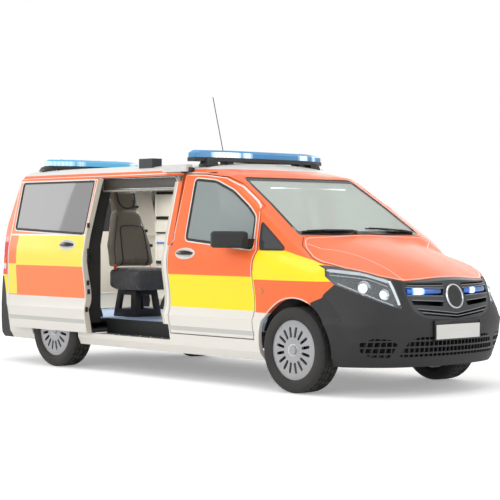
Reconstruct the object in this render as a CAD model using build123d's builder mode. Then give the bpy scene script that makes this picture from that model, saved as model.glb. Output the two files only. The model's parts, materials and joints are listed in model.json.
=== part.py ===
from build123d import *
import os
import math

os.makedirs("parts", exist_ok=True)

# Emergency-doctor van. +X forward, +Y to the vehicle's left, +Z up. The origin lies on the floor
# under the middle of the vehicle. All lengths are in millimetres.

# Overall sizes
length = 5140.0
width = 1928.0
roof_height = 1885.0
half_length = length / 2
half_width = width / 2
overrun = 400.0

# Panels
wall = 50.0
skin = 30.0
glass_depth = 4.0
glass_thickness = 6.0
panel_gap = 8.0
lid_gap = 6.0
pillar_depth = 60.0
seat_gap = 0.3

# Running gear
wheelbase = 3200.0
front_axle_x = 1675.0
rear_axle_x = front_axle_x - wheelbase
half_track = 833.0
tyre_radius = 340.0
tyre_width = 225.0
tyre_bead_radius = 232.0
rim_radius = tyre_bead_radius
rim_wall = 8.0
cover_depth = 10.0
cover_crown = 14.0
hub_radius = 74.0
cap_radius = 35.0
cap_height = 8.0
slot_count = 16
slot_inner_radius = 98.0
slot_outer_radius = 186.0
slot_width = 24.0
spindle_radius = 30.0
spindle_play = 0.5
spindle_length = 120.0
king_pin_y = 813.0
arch_radius = 385.0
arch_rise = 20.0
arch_lip = 22.0
wheelhouse_depth = 440.0
liner = 12.0

# Interior
floor_height = 470.0
floor_thickness = 30.0
step_height = 330.0
step_depth = 300.0
step_edge_inset = 126.0

# Half sections of the lower body across the vehicle, from the tail to the nose. Each row gives
# its place along half the length, then the height and half width of each point from the floor
# pan's edge up to the bonnet's centre line, as shares of the roof height and of half the width.
lower_shares = (
    (-1.0272, ((0, 0.122, 0, -1), (0.8444, 0.122, 1, -1), (0.8911, 0.1592, 1, -1), (0.9315, 0.2971, 1, 0), (0.9274, 0.4775, 1, 0), (0.9191, 0.5836, 1, 0), (0.89, 0.6536, 1, 0.2), (0.6639, 0.6568, 0, 1), (0, 0.6578, 0, 1))),
    (-0.7004, ((0, 0.122, 0, -1), (0.9129, 0.122, 1, -1), (0.9595, 0.1592, 1, -1), (1, 0.2971, 1, 0), (0.9959, 0.4775, 1, 0), (0.9876, 0.5836, 1, 0), (0.9575, 0.6536, 1, 0.2), (0.6639, 0.6568, 0, 1), (0, 0.6578, 0, 1))),
    (0.3502, ((0, 0.122, 0, -1), (0.9129, 0.122, 1, -1), (0.9595, 0.1592, 1, -1), (1, 0.2971, 1, 0), (0.9959, 0.4775, 1, 0), (0.9855, 0.5809, 1, 0), (0.9336, 0.6207, 0.7, 0.7), (0.6639, 0.6499, 0, 1), (0, 0.6578, 0, 1))),
    (0.5848, ((0, 0.122, 0, -1), (0.9129, 0.122, 1, -1), (0.9595, 0.1592, 1, -1), (1, 0.2971, 1, 0), (0.9938, 0.4668, 1, 0), (0.9803, 0.5517, 1, 0.2), (0.9129, 0.5862, 0.5, 1), (0.6743, 0.634, 0.2, 1), (0, 0.6594, 0, 1))),
    (0.7004, ((0, 0.122, 0, -1), (0.8983, 0.122, 1, -1), (0.945, 0.1592, 1, -1), (0.9855, 0.2971, 1, 0), (0.9751, 0.4403, 1, 0), (0.9595, 0.5093, 1, 0.3), (0.8921, 0.5422, 0.5, 1), (0.6743, 0.5836, 0.2, 1), (0, 0.6164, 0, 1))),
    (0.7588, ((0, 0.122, 0, -1), (0.8859, 0.122, 1, -1), (0.9326, 0.1592, 1, -1), (0.973, 0.2971, 1, 0), (0.9637, 0.4223, 1, 0), (0.945, 0.4891, 1, 0.3), (0.8807, 0.5231, 0.5, 1), (0.6701, 0.5592, 0.2, 1), (0, 0.592, 0, 1))),
    (0.8171, ((0, 0.122, 0, -1), (0.8714, 0.122, 1, -1), (0.918, 0.1592, 1, -1), (0.9585, 0.2971, 1, 0), (0.9492, 0.4032, 1, 0), (0.9284, 0.4668, 1, 0.3), (0.8662, 0.5013, 0.5, 1), (0.6639, 0.5321, 0.2, 1), (0, 0.5645, 0, 1))),
    (0.8658, ((0, 0.122, 0, -1), (0.8485, 0.122, 1, -1), (0.8952, 0.1592, 1, -1), (0.9357, 0.2971, 1, 0), (0.9253, 0.3851, 1, 0), (0.9035, 0.4467, 1, 0.3), (0.8413, 0.4806, 0.5, 1), (0.6556, 0.5077, 0.2, 1), (0, 0.539, 0, 1))),
    (0.9144, ((0, 0.122, 0, -1), (0.8195, 0.122, 1, -1), (0.8662, 0.1592, 1, -1), (0.9066, 0.2971, 1, 0), (0.8921, 0.366, 1, 0), (0.8714, 0.4244, 1, 0.3), (0.8091, 0.4573, 0.5, 1), (0.6432, 0.4801, 0.2, 1), (0, 0.5103, 0, 1))),
    (0.965, ((0, 0.122, 0, -1), (0.7905, 0.122, 1, -1), (0.8371, 0.1592, 1, -1), (0.8776, 0.2971, 1, 0), (0.8631, 0.3427, 1, 0), (0.8382, 0.3968, 1, 0.3), (0.7801, 0.4276, 0.5, 1), (0.6338, 0.4488, 0.2, 1), (0, 0.478, 0, 1))),
    (1.0272, ((0, 0.122, 0, -1), (0.7573, 0.122, 1, -1), (0.8039, 0.1592, 1, -1), (0.8444, 0.2971, 1, 0), (0.8299, 0.3183, 1, 0), (0.7988, 0.366, 1, 0.3), (0.7469, 0.3926, 0.5, 1), (0.6224, 0.4111, 0.2, 1), (0, 0.435, 0, 1))),
)
# The same for the greenhouse: from under the belt up to the roof's centre line.
upper_shares = (
    (-1.0272, ((0, 0.5305, 0, 0), (0.917, 0.5305, 1, 0), (0.9129, 0.5931, 1, 0), (0.8838, 0.6578, 1, 0), (0.7728, 0.9284, 1, 0.2), (0.7158, 0.9613, 0.6, 0.8), (0.5809, 0.9804, 0, 1), (0, 0.9931, 0, 1))),
    (-0.7004, ((0, 0.5305, 0, 0), (0.9855, 0.5305, 1, 0), (0.9813, 0.5931, 1, 0), (0.9585, 0.6578, 1, 0), (0.832, 0.9284, 1, 0.2), (0.7697, 0.9613, 0.6, 0.8), (0.6224, 0.9825, 0, 1), (0, 0.9984, 0, 1))),
    (0.0233, ((0, 0.5305, 0, 0), (0.9855, 0.5305, 1, 0), (0.9813, 0.5931, 1, 0), (0.9585, 0.6578, 1, 0), (0.832, 0.9284, 1, 0.2), (0.7697, 0.9602, 0.6, 0.8), (0.6224, 0.9814, 0, 1), (0, 1, 0, 1))),
    (0.1673, ((0, 0.5305, 0, 0), (0.9844, 0.5305, 1, 0), (0.9793, 0.5931, 1, 0), (0.9564, 0.6578, 1, 0), (0.8257, 0.9252, 1, 0.2), (0.7614, 0.9528, 0.6, 0.8), (0.6141, 0.9708, 0, 1), (0, 0.9878, 0, 1))),
    (0.2887, ((0, 0.5305, 0, 0), (0.9793, 0.5305, 1, 0), (0.971, 0.5931, 1, 0), (0.9461, 0.6525, 1, 0), (0.8071, 0.9082, 1, 0.2), (0.7427, 0.922, 0.6, 0.8), (0.5809, 0.9284, 0, 1), (0, 0.9337, 0, 1))),
    (0.4475, ((0, 0.5305, 0, 0), (0.9627, 0.5305, 1, 0), (0.9481, 0.5931, 1, 0), (0.9253, 0.6419, 1, 0), (0.8454, 0.7756, 1, 0.2), (0.7832, 0.7883, 0.6, 0.8), (0.5809, 0.7947, 0, 1), (0, 0.8, 0, 1))),
    (0.607, ((0, 0.5252, 0, 0), (0.9388, 0.5252, 1, 0), (0.9253, 0.5782, 1, 0), (0.9129, 0.6048, 1, 0), (0.8817, 0.6345, 1, 0.2), (0.7988, 0.6462, 0.6, 0.8), (0.5809, 0.6525, 0, 1), (0, 0.6578, 0, 1))),
    (0.6848, ((0, 0.5199, 0, 0), (0.9129, 0.5199, 1, 0), (0.8921, 0.5305, 1, 0), (0.8817, 0.5464, 1, 0), (0.861, 0.5597, 1, 0.2), (0.7884, 0.5729, 0.6, 0.8), (0.5809, 0.5809, 0, 1), (0, 0.5867, 0, 1))),
)
# How many points of each row run straight up the side before the rounded crown starts
lower_shoulder = 4
upper_shoulder = 5
# Plan outlines by height: share of the roof height, then places along half the length at the
# tail, at its corner, and at the nose, for the half widths given by the two rows of shares.
tail_width_shares = (0, 0.6224, 0.8817, 0.9336, 0.9959, 1.0477)
nose_width_shares = (0, 0.3631, 0.6432, 0.8817, 0.9595, 1.0477)
plan_shares = (
    (0.0796, (-0.9728, -0.9689, -0.958, -0.9284, -0.8934, -0.8366),
     (0.9494, 0.9339, 0.8911, 0.7938, 0.7471, 0.7004)),
    (0.1146, (-0.9883, -0.9844, -0.9735, -0.944, -0.9089, -0.8521),
     (0.9786, 0.963, 0.9222, 0.8113, 0.7626, 0.7198)),
    (0.1379, (-0.993, -0.9891, -0.9782, -0.9486, -0.9136, -0.8568),
     (0.9903, 0.9759, 0.9358, 0.8366, 0.7821, 0.7354)),
    (0.1751, (-0.9977, -0.9938, -0.9829, -0.9533, -0.9183, -0.8615),
     (0.9965, 0.9829, 0.944, 0.8661, 0.8078, 0.751)),
    (0.2228, (-1, -0.9961, -0.9852, -0.9556, -0.9206, -0.8638),
     (1, 0.9872, 0.9494, 0.8891, 0.8288, 0.7626)),
    (0.2971, (-1, -0.9961, -0.9852, -0.9556, -0.9206, -0.8638),
     (1, 0.9883, 0.9591, 0.8949, 0.8366, 0.7704)),
    (0.3448, (-0.9973, -0.9934, -0.9821, -0.9529, -0.9191, -0.8619),
     (0.9953, 0.9844, 0.9514, 0.8747, 0.8202, 0.7564)),
    (0.3979, (-0.9926, -0.9887, -0.977, -0.949, -0.9171, -0.8595),
     (0.9868, 0.9767, 0.937, 0.8405, 0.7907, 0.73)),
    (0.4509, (-0.9864, -0.9825, -0.9708, -0.9436, -0.9144, -0.856),
     (0.9759, 0.9669, 0.9183, 0.8027, 0.7588, 0.7004)),
    (0.5305, (-0.9778, -0.9743, -0.9626, -0.9374, -0.9097, -0.851),
     (0.9556, 0.9447, 0.8817, 0.7549, 0.7121, 0.656)),
    (0.6684, (-0.9611, -0.958, -0.9463, -0.9241, -0.8988, -0.8405),
     (0.9144, 0.9027, 0.821, 0.6848, 0.642, 0.5837)),
    (1.008, (-0.8891, -0.886, -0.8743, -0.8521, -0.8268, -0.7782),
     (0.9144, 0.9027, 0.821, 0.6848, 0.642, 0.5837)),
)


def cross_form(table, shoulder, inset):
    """Loft of half sections: straight runs up to the shoulder point, then one smooth crown."""
    with BuildPart() as form:
        for place, section in table:
            rim = [(y * half_width - inset * out, z * roof_height - inset * up)
                   for y, z, out, up in section]
            far = [(-y, z) for y, z in rim]
            with BuildSketch(Plane.YZ.offset(place * half_length)):
                with BuildLine():
                    Polyline(rim[:shoulder])
                    Spline(rim[shoulder - 1:] + far[-2:shoulder - 2:-1])
                    Polyline(far[:shoulder])
                make_face()
        loft(ruled=True)
    return form.part


def plan_form(inset):
    with BuildPart() as form:
        for height, tail, nose in plan_shares:
            rear = [(x * half_length + inset, y * half_width) for x, y in zip(tail, tail_width_shares)]
            front = [(x * half_length - inset, y * half_width) for x, y in zip(nose, nose_width_shares)]
            rear_side = [(x, -y) for x, y in rear]
            front_side = [(x, -y) for x, y in front]
            with BuildSketch(Plane.XY.offset(height * roof_height)):
                with BuildLine():
                    Spline(front_side[:0:-1] + front)
                    Polyline([front[-1]] + rear[::-1] + rear_side[1:] + [front_side[-1]])
                make_face()
        loft(ruled=True)
    return form.part


def body_form(inset):
    with BuildPart() as form:
        add(cross_form(lower_shares, lower_shoulder, inset))
        add(cross_form(upper_shares, upper_shoulder, inset))
        add(plan_form(inset), mode=Mode.INTERSECT)
    return form.part


def side_points(shares):
    return [(x * half_length, z * roof_height) for x, z in shares]


def front_points(shares):
    return [(y * half_width, z * roof_height) for y, z in shares]


def side_slab(points, high_y, low_y, inset=0, corner=0):
    with BuildPart() as slab:
        with BuildSketch(Plane.XZ.offset(-high_y)) as outline:
            with BuildLine():
                Polyline(points, close=True)
            make_face()
            if inset:
                offset(amount=-inset, kind=Kind.INTERSECTION)
            if corner:
                fillet(outline.vertices(), corner)
        extrude(amount=high_y - low_y)
    return slab.part


def front_slab(points, low_x, high_x, inset=0, corner=0):
    with BuildPart() as slab:
        with BuildSketch(Plane.YZ.offset(low_x)) as outline:
            with BuildLine():
                Polyline(points, close=True)
            make_face()
            if inset:
                offset(amount=-inset, kind=Kind.INTERSECTION)
            if corner:
                fillet(outline.vertices(), corner)
        extrude(amount=high_x - low_x)
    return slab.part


def plan_slab(points, low_z, high_z, inset=0):
    with BuildPart() as slab:
        with BuildSketch(Plane.XY.offset(low_z)):
            with BuildLine():
                Polyline(points, close=True)
            make_face()
            if inset:
                offset(amount=-inset, kind=Kind.INTERSECTION)
        extrude(amount=high_z - low_z)
    return slab.part


def block(low, high):
    centre = [(a + b) / 2 for a, b in zip(low, high)]
    with BuildPart(Plane(origin=centre)) as solid:
        Box(*[b - a for a, b in zip(low, high)])
    return solid.part


def tube(start, end, radius):
    path = [b - a for a, b in zip(start, end)]
    with BuildPart(Plane(origin=start, z_dir=path)) as solid:
        Cylinder(radius, math.dist(start, end), align=(Align.CENTER, Align.CENTER, Align.MIN))
    return solid.part


def drum(x, high_y, low_y, z, radius):
    with BuildPart(Plane(origin=(x, high_y, z), z_dir=(0, -1, 0))) as solid:
        Cylinder(radius, high_y - low_y, align=(Align.CENTER, Align.CENTER, Align.MIN))
    return solid.part


# Hollow bodies that every panel is cut from
outer = body_form(0)
inner = body_form(wall)
nose_inner = body_form(skin)
with BuildPart() as shell_block:
    add(outer)
    add(inner, mode=Mode.SUBTRACT)
shell = shell_block.part
with BuildPart() as nose_block:
    add(outer)
    add(nose_inner, mode=Mode.SUBTRACT)
nose_shell = nose_block.part
with BuildPart() as glazing_block:
    add(body_form(glass_depth))
    add(body_form(glass_depth + glass_thickness), mode=Mode.SUBTRACT)
glazing = glazing_block.part

# Outlines on the side of the vehicle: place along half the length, share of the roof height
door_shares = (
    (0.0708, 0.2106), (0.0685, 0.3385), (0.0591, 0.608), (0.0809, 0.6329), (0.0724, 0.9369),
    (0.1829, 0.9326), (0.286, 0.9162), (0.3794, 0.8589), (0.4533, 0.7867), (0.4654, 0.7533),
    (0.4825, 0.5931), (0.4825, 0.2106),
)
door_glass_shares = (
    (0.1471, 0.6366), (0.1416, 0.9082), (0.2377, 0.8966), (0.3261, 0.8509), (0.4086, 0.7798),
    (0.4444, 0.7385), (0.4591, 0.5995),
)
door_jamb_shares = (
    (0.0685, 0.6101), (0.0685, 0.9549), (0.0872, 0.9549), (0.0825, 0.6101),
)
quarter_glass_shares = (
    (0.4755, 0.7172), (0.5953, 0.6048), (0.5922, 0.5963), (0.4911, 0.5963),
)
side_zone_shares = (
    (1.3485, 0.0318), (1.3485, 1.061), (0.6639, 1.061), (0.7158, 0.9496), (0.7427, 0.8488),
    (0.8216, 0.6578), (0.8454, 0.5836), (0.8506, 0.0318),
)
side_region_shares = (
    (-1.0272, 0.069), (-1.0272, 0.9401), (0.0724, 0.9432), (0.1829, 0.939), (0.286, 0.9225),
    (0.3813, 0.8647), (0.4568, 0.7926), (0.4693, 0.7554), (0.4856, 0.5931), (0.4856, 0.069),
)
roof_region_shares = (
    (-1.0272, 0.9401), (0.2179, 0.9401), (0.249, 0.7851), (0.4591, 0.5931), (0.6848, 0.5931),
    (0.6848, 0.6897), (0.2887, 1.0398), (-1.0272, 1.0398),
)
slide_shares = (
    (-0.4171, 0.1804), (-0.4171, 0.9294), (0.0685, 0.9294), (0.0584, 0.6324), (0.0584, 0.608),
    (0.0669, 0.3385), (0.0669, 0.1804),
)
slide_glass_shares = (
    (-0.3891, 0.6801), (-0.393, 0.9167), (0.0459, 0.9167), (0.042, 0.6568),
)
mid_glass_shares = (
    (-0.3891, 0.6748), (-0.393, 0.9167), (0.0389, 0.9167), (0.0358, 0.6536),
)
rear_glass_shares = (
    (-0.4514, 0.6769), (-0.4545, 0.9167), (-0.8288, 0.9103), (-0.856, 0.8276), (-0.8755, 0.6897),
)
doorway_shares = (
    (-0.414, 0.2255), (-0.414, 0.9257), (0.0374, 0.9257), (0.0374, 0.2255),
)
doorway_skin_shares = (
    (-0.4171, 0.1804), (-0.4171, 0.9294), (0.0724, 0.9294), (0.0724, 0.6324), (0.0545, 0.608),
    (0.0646, 0.3385), (0.0669, 0.1804),
)
bumper_region_shares = (
    (0.7237, 0.3814), (0.7732, 0.4042), (0.7977, 0.4584), (0.8716, 0.4584), (0.8911, 0.5305),
    (1.0272, 0.5305), (1.0272, 0.0531), (0.7237, 0.0531),
)
lining_shares = (
    (-0.428, 0.4244), (-0.428, 0.9337), (0.0078, 0.9337), (0.0078, 0.2653), (-0.414, 0.2653),
)
lining_slit_shares = (
    (-0.3735, 0.852), (-0.3735, 0.9167), (-0.0156, 0.9167), (-0.0156, 0.852),
)
fender_region_shares = (
    (0.4856, 0.069), (0.4856, 0.5931), (0.6848, 0.5931), (1.0272, 0.5931), (1.0272, 0.069),
)
underbody_shares = (
    (-0.8506, 0.0531), (-0.8506, 0.2122), (0.8506, 0.2122), (0.8506, 0.0531),
)

# Outlines seen from the front or the back: share of half the width, share of the roof height
windscreen_shares = (
    (-0.6639, 0.9135), (0.6639, 0.9135), (0.749, 0.661), (-0.749, 0.661),
)
headlamp_shares = (
    (0.5581, 0.3714), (0.5726, 0.3629), (0.6141, 0.3671), (0.7085, 0.3878), (0.805, 0.4207),
    (0.8838, 0.4562), (0.9046, 0.4907), (0.8776, 0.5369), (0.7261, 0.5225), (0.583, 0.4907),
)
grille_top_shares = (
    (-0.5021, 0.4849), (0.5021, 0.4849),
)
grille_rim_shares = (
    (0.5021, 0.4849), (0.5197, 0.4302), (0.4979, 0.3915), (0.4523, 0.3475), (0.3527, 0.3236),
    (0.1867, 0.3151), (0, 0.3119),
)
grille_slot_shares = (
    (
    (0.1162, 0.4615), (0.4751, 0.4637), (0.4793, 0.4578), (0.1162, 0.4552),
),
    (
    (0.1162, 0.4393), (0.4979, 0.4456), (0.5021, 0.417), (0.1349, 0.4117),
),
    (
    (0.1411, 0.3862), (0.472, 0.3947), (0.4564, 0.3777), (0.1556, 0.3671),
),
)
grille_vee_shares = (
    (
    (0, 0.3363), (0.4295, 0.3586), (0.417, 0.3512), (0, 0.3289),
),
    (
    (0, 0.3241), (0.3859, 0.3422), (0.3651, 0.3353), (0, 0.3172),
),
)
lower_grille_shares = (
    (-0.5809, 0.1655), (-0.5073, 0.2265), (-0.4212, 0.2451), (0.4212, 0.2451), (0.5073, 0.2265),
    (0.5809, 0.1655),
)
fog_grille_shares = (
    (0.7853, 0.243), (0.8693, 0.2249), (0.8423, 0.1867), (0.7728, 0.1655), (0.6432, 0.1645),
    (0.5934, 0.2186), (0.6639, 0.2387),
)
tailgate_shares = (
    (-0.7261, 0.9507), (0.7261, 0.9507), (0.8299, 0.7958), (0.888, 0.6366), (0.8983, 0.4509),
    (0.8817, 0.3183), (-0.8817, 0.3183), (-0.8983, 0.4509), (-0.888, 0.6366), (-0.8299, 0.7958),
)
tailgate_glass_shares = (
    (-0.6411, 0.9135), (0.6411, 0.9135), (0.7386, 0.7958), (0.7842, 0.6695), (-0.7842, 0.6695),
    (-0.7386, 0.7958),
)
tail_lamp_shares = (
    (0.9004, 0.4483), (0.9004, 0.6403), (1.0166, 0.6403), (1.0166, 0.4483),
)

# Outline seen from above
bonnet_shares = (
    (0.6023, 0), (0.607, 0.7261), (0.6381, 0.8154), (0.7237, 0.8423), (0.8093, 0.7905),
    (0.8949, 0.6349), (0.9416, 0.4876), (0.9518, 0.3112), (0.9556, 0),
)

door_points = side_points(door_shares)
door_front_x = max(x for x, z in door_points)
hinge_offset = 10.0
hinge_clearance = 2.0
door_hinge_x = door_front_x + hinge_offset
door_hinge_y = half_width + hinge_clearance

# Wheel arches and wheelhouses
wheelhouse_inner_y = 520.0
rear_house_inner_y = 650.0
rear_arch_radius = 372.0
arch_z = tyre_radius + arch_rise


def arches(radius, rear_radius, front_inner, rear_inner):
    with BuildPart() as cuts:
        for side in (1, -1):
            add(drum(front_axle_x, max(side * front_inner, side * half_length),
                     min(side * front_inner, side * half_length), arch_z, radius))
            add(drum(rear_axle_x, max(side * rear_inner, side * half_length),
                     min(side * rear_inner, side * half_length), arch_z, rear_radius))
    return cuts.part


arch_cut = arches(arch_radius, rear_arch_radius, wheelhouse_inner_y, rear_house_inner_y)

# Cant and side panels
body_top = roof_height + overrun
side_region = side_points(side_region_shares)
roof_region = side_points(roof_region_shares)
tailgate_cut = front_slab(front_points(tailgate_shares), -half_length - overrun, -half_length + overrun)
tail_lamp_depth = 250.0
tail_lamp_cuts = [front_slab(front_points([(side * y, z) for y, z in tail_lamp_shares]),
                             -half_length - overrun, -half_length + tail_lamp_depth)
                  for side in (1, -1)]
side_zones = {}
for side in (1, -1):
    zone_points = [(side * y, z) for y, z in front_points(side_zone_shares)]
    side_zones[side] = front_slab(zone_points, -half_length - overrun, half_length + overrun)
with BuildPart() as side_blocks:
    add(side_slab(side_region, half_width + overrun, -half_width - overrun))
    with BuildPart(mode=Mode.PRIVATE) as both_zones:
        add(side_zones[1])
        add(side_zones[-1])
    add(both_zones.part, mode=Mode.INTERSECT)
side_block = side_blocks.part
sill_inner = front_slab(front_points(underbody_shares), -half_length - overrun, half_length + overrun)
rear_bumper_top_share = 0.44
rear_bumper_front_share = -0.905
rear_bumper_shares = ((-1.2, 0), (-1.2, rear_bumper_top_share), (-0.93, rear_bumper_top_share),
                      (rear_bumper_front_share, 0.28), (rear_bumper_front_share, 0))
rear_bumper_region = side_points(rear_bumper_shares)

with BuildPart() as side_left:
    add(shell)
    add(side_block, mode=Mode.INTERSECT)
    add(side_zones[1], mode=Mode.INTERSECT)
    add(side_slab(door_points, half_width + overrun, 0), mode=Mode.SUBTRACT)
    add(side_slab(side_points(mid_glass_shares), half_width + overrun, 0), mode=Mode.SUBTRACT)
    add(side_slab(side_points(rear_glass_shares), half_width + overrun, 0), mode=Mode.SUBTRACT)
    add(side_slab(rear_bumper_region, half_width + overrun, 0), mode=Mode.SUBTRACT)
    add(tailgate_cut, mode=Mode.SUBTRACT)
    add(tail_lamp_cuts[0], mode=Mode.SUBTRACT)
    add(sill_inner, mode=Mode.SUBTRACT)
    add(arch_cut, mode=Mode.SUBTRACT)
side_left.part.label = "side_left"
export_step(side_left.part, "parts/side_left.step")

slide_glass_region = side_slab(side_points(slide_glass_shares), 0, -half_width - overrun)
with BuildPart() as side_right:
    add(shell)
    add(side_block, mode=Mode.INTERSECT)
    add(side_zones[-1], mode=Mode.INTERSECT)
    add(side_slab(door_points, 0, -half_width - overrun), mode=Mode.SUBTRACT)
    add(side_slab(side_points(doorway_skin_shares), 0, -half_width - overrun), mode=Mode.SUBTRACT)
    add(side_slab(side_points(rear_glass_shares), 0, -half_width - overrun), mode=Mode.SUBTRACT)
    add(side_slab(rear_bumper_region, 0, -half_width - overrun), mode=Mode.SUBTRACT)
    add(tailgate_cut, mode=Mode.SUBTRACT)
    add(tail_lamp_cuts[1], mode=Mode.SUBTRACT)
    add(sill_inner, mode=Mode.SUBTRACT)
    add(arch_cut, mode=Mode.SUBTRACT)
side_right.part.label = "side_right"
export_step(side_right.part, "parts/side_right.step")

# Door pillar behind the front door, set in by one wall
pillar_shares = (
    (0.014, 0.2499), (0.014, 0.9019), (0.0646, 0.9019), (0.0545, 0.6101), (0.0638, 0.2499),
)
with BuildPart() as pillar_right:
    add(inner)
    add(body_form(wall + pillar_depth), mode=Mode.SUBTRACT)
    add(side_slab(side_points(pillar_shares), 0, -half_width - overrun), mode=Mode.INTERSECT)
pillar_right.part.label = "pillar_right"
export_step(pillar_right.part, "parts/pillar_right.step")

# Roof with the windscreen frame and both front quarters down to the belt
windscreen_rear_share = 0.286
windscreen_cut = front_slab(front_points(windscreen_shares), windscreen_rear_share * half_length, half_length)
bonnet_rim = [(x * half_length, y * half_width) for x, y in bonnet_shares]
bonnet_rim = bonnet_rim + [(x, -y) for x, y in bonnet_rim[::-1] if y > 0]
bonnet_low_share = 0.42
bonnet_low = bonnet_low_share * roof_height
bonnet_cut = plan_slab(bonnet_rim, bonnet_low, body_top, inset=-lid_gap)
quarter_cut = side_slab(side_points(quarter_glass_shares), half_width + overrun, -half_width - overrun)
with BuildPart() as roof:
    add(shell)
    add(side_slab(roof_region, half_width + overrun, -half_width - overrun), mode=Mode.INTERSECT)
    add(side_block, mode=Mode.SUBTRACT)
    add(windscreen_cut, mode=Mode.SUBTRACT)
    add(quarter_cut, mode=Mode.SUBTRACT)
    add(bonnet_cut, mode=Mode.SUBTRACT)
    add(tailgate_cut, mode=Mode.SUBTRACT)
roof.part.label = "roof"
export_step(roof.part, "parts/roof.step")

# Floor with its load bed, step well and wheel housings, on two long rails
floor_front_share = 0.545
bed_y = half_width - wall - pillar_depth
rail_y = 430.0
rail_width = 90.0
rail_height = 48.0
floor_low = floor_height - floor_thickness
floor_rear = -half_length + wall * 2
floor_front = floor_front_share * half_length
step_front = side_points(doorway_shares)[2][0]
step_rear = side_points(doorway_shares)[0][0]
with BuildPart() as floor_pan:
    add(inner)
    add(block((floor_rear, -half_width, floor_low), (floor_front, half_width, floor_height)), mode=Mode.INTERSECT)
    add(block((step_rear, -half_width, 0), (step_front, -half_width + step_depth, floor_height + wall)),
        mode=Mode.SUBTRACT)
    add(arches(arch_radius, rear_arch_radius, wheelhouse_inner_y, rear_house_inner_y), mode=Mode.SUBTRACT)
    add(block((step_rear, -half_width + step_edge_inset, step_height - floor_thickness),
              (step_front, -half_width + step_depth + floor_thickness, step_height)))
    add(block((step_rear, -half_width + step_depth, step_height - floor_thickness),
              (step_front, -half_width + step_depth + floor_thickness, floor_height)))
    for side in (1, -1):
        add(block((floor_rear, side * rail_y - rail_width / 2, floor_low - rail_height),
                  (floor_front, side * rail_y + rail_width / 2, floor_low)))
floor_pan.part.label = "floor_pan"
export_step(floor_pan.part, "parts/floor_pan.step")

# Wheel housings: half shells over each wheel
housing_gap = 4.0
with BuildPart() as wheelhouses:
    for side in (1, -1):
        for x, radius, inner_y in ((front_axle_x, arch_radius, wheelhouse_inner_y),
                                   (rear_axle_x, rear_arch_radius, rear_house_inner_y)):
            outer_y = half_width - wall - pillar_depth / 2
            add(drum(x, max(side * (inner_y - liner), side * outer_y), min(side * (inner_y - liner), side * outer_y),
                     arch_z, radius + liner))
    add(arch_cut, mode=Mode.SUBTRACT)
    add(block((-half_length, -half_width, floor_height), (half_length, half_width, body_top)), mode=Mode.INTERSECT)
    add(nose_inner, mode=Mode.INTERSECT)
wheelhouses.part.label = "wheelhouses"
export_step(wheelhouses.part, "parts/wheelhouses.step")

# Lining of the left wall, up to the slit of window above it
lining_thickness = 12.0
lining_corner = 40.0
lining_form = body_form(wall + lining_thickness)
with BuildPart() as wall_lining:
    add(inner)
    add(lining_form, mode=Mode.SUBTRACT)
    add(side_slab(side_points(lining_shares), half_width + overrun, 0), mode=Mode.INTERSECT)
    add(side_slab(side_points(lining_slit_shares), half_width + overrun, 0, corner=lining_corner),
        mode=Mode.SUBTRACT)
wall_lining.part.label = "wall_lining"
export_step(wall_lining.part, "parts/wall_lining.step")

# Bulkhead between the engine bay and the cab
bulkhead_y = wheelhouse_inner_y - liner - seat_gap
bulkhead_top_share = 0.585
with BuildPart() as bulkhead:
    add(block((floor_front, -bulkhead_y, floor_low - rail_height), (floor_front + floor_thickness, bulkhead_y,
                                                      bulkhead_top_share * roof_height)))
bulkhead.part.label = "bulkhead"
export_step(bulkhead.part, "parts/bulkhead.step")

# Front end
lamp_rear_share = 0.7
low_grille_rear_share = 0.86
fog_rear_share = 0.85
front_underbody_shares = ((0, 0.85), (0.93, 0.5))
grille_corner = 14.0
grille_boss_x = 2513.0
grille_boss_z = 763.0
grille_boss_radius = 104.0
grille_boss_depth = 44.0
grille_boss_lean = 13.0
mesh_pitch = 48.0
mesh_bar = 13.0
mesh_rib_pitch = 44.0
mesh_rib = 7.0
mesh_reach_share = 0.85
fender_region = side_points(fender_region_shares)
bumper_region = side_points(bumper_region_shares)
headlamp_cuts = [front_slab(front_points([(side * y, z) for y, z in headlamp_shares]),
                            lamp_rear_share * half_length, half_length + overrun) for side in (1, -1)]
grille_rim = front_points(grille_rim_shares)
with BuildPart() as grille_block:
    with BuildSketch(Plane.YZ.offset(lamp_rear_share * half_length)):
        with BuildLine():
            Line(front_points(grille_top_shares))
            Spline(grille_rim + [(-y, z) for y, z in grille_rim[-2::-1]])
        make_face()
    extrude(amount=half_length + overrun)
grille_cut = grille_block.part
lower_cuts = [front_slab(front_points(lower_grille_shares), low_grille_rear_share * half_length,
                         half_length + overrun, corner=grille_corner)]
for side in (1, -1):
    fog_points = front_points([(side * y, z) for y, z in fog_grille_shares])
    lower_cuts.append(front_slab(fog_points, fog_rear_share * half_length, half_length + overrun,
                                 corner=grille_corner))
underbody_points = [(x * half_length, y * half_width) for x, y in front_underbody_shares]
front_underbody = plan_slab(underbody_points + [(x, -y) for x, y in underbody_points[::-1]], 0, floor_low)
with BuildPart() as fenders:
    add(nose_shell)
    add(side_slab(fender_region, half_width + overrun, -half_width - overrun), mode=Mode.INTERSECT)
    add(side_slab(bumper_region, half_width + overrun, -half_width - overrun), mode=Mode.SUBTRACT)
    add(bonnet_cut, mode=Mode.SUBTRACT)
    add(grille_cut, mode=Mode.SUBTRACT)
    for cut in headlamp_cuts:
        add(cut, mode=Mode.SUBTRACT)
    add(front_underbody, mode=Mode.SUBTRACT)
    add(arch_cut, mode=Mode.SUBTRACT)
fenders.part.label = "fenders"
export_step(fenders.part, "parts/fenders.step")

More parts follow.
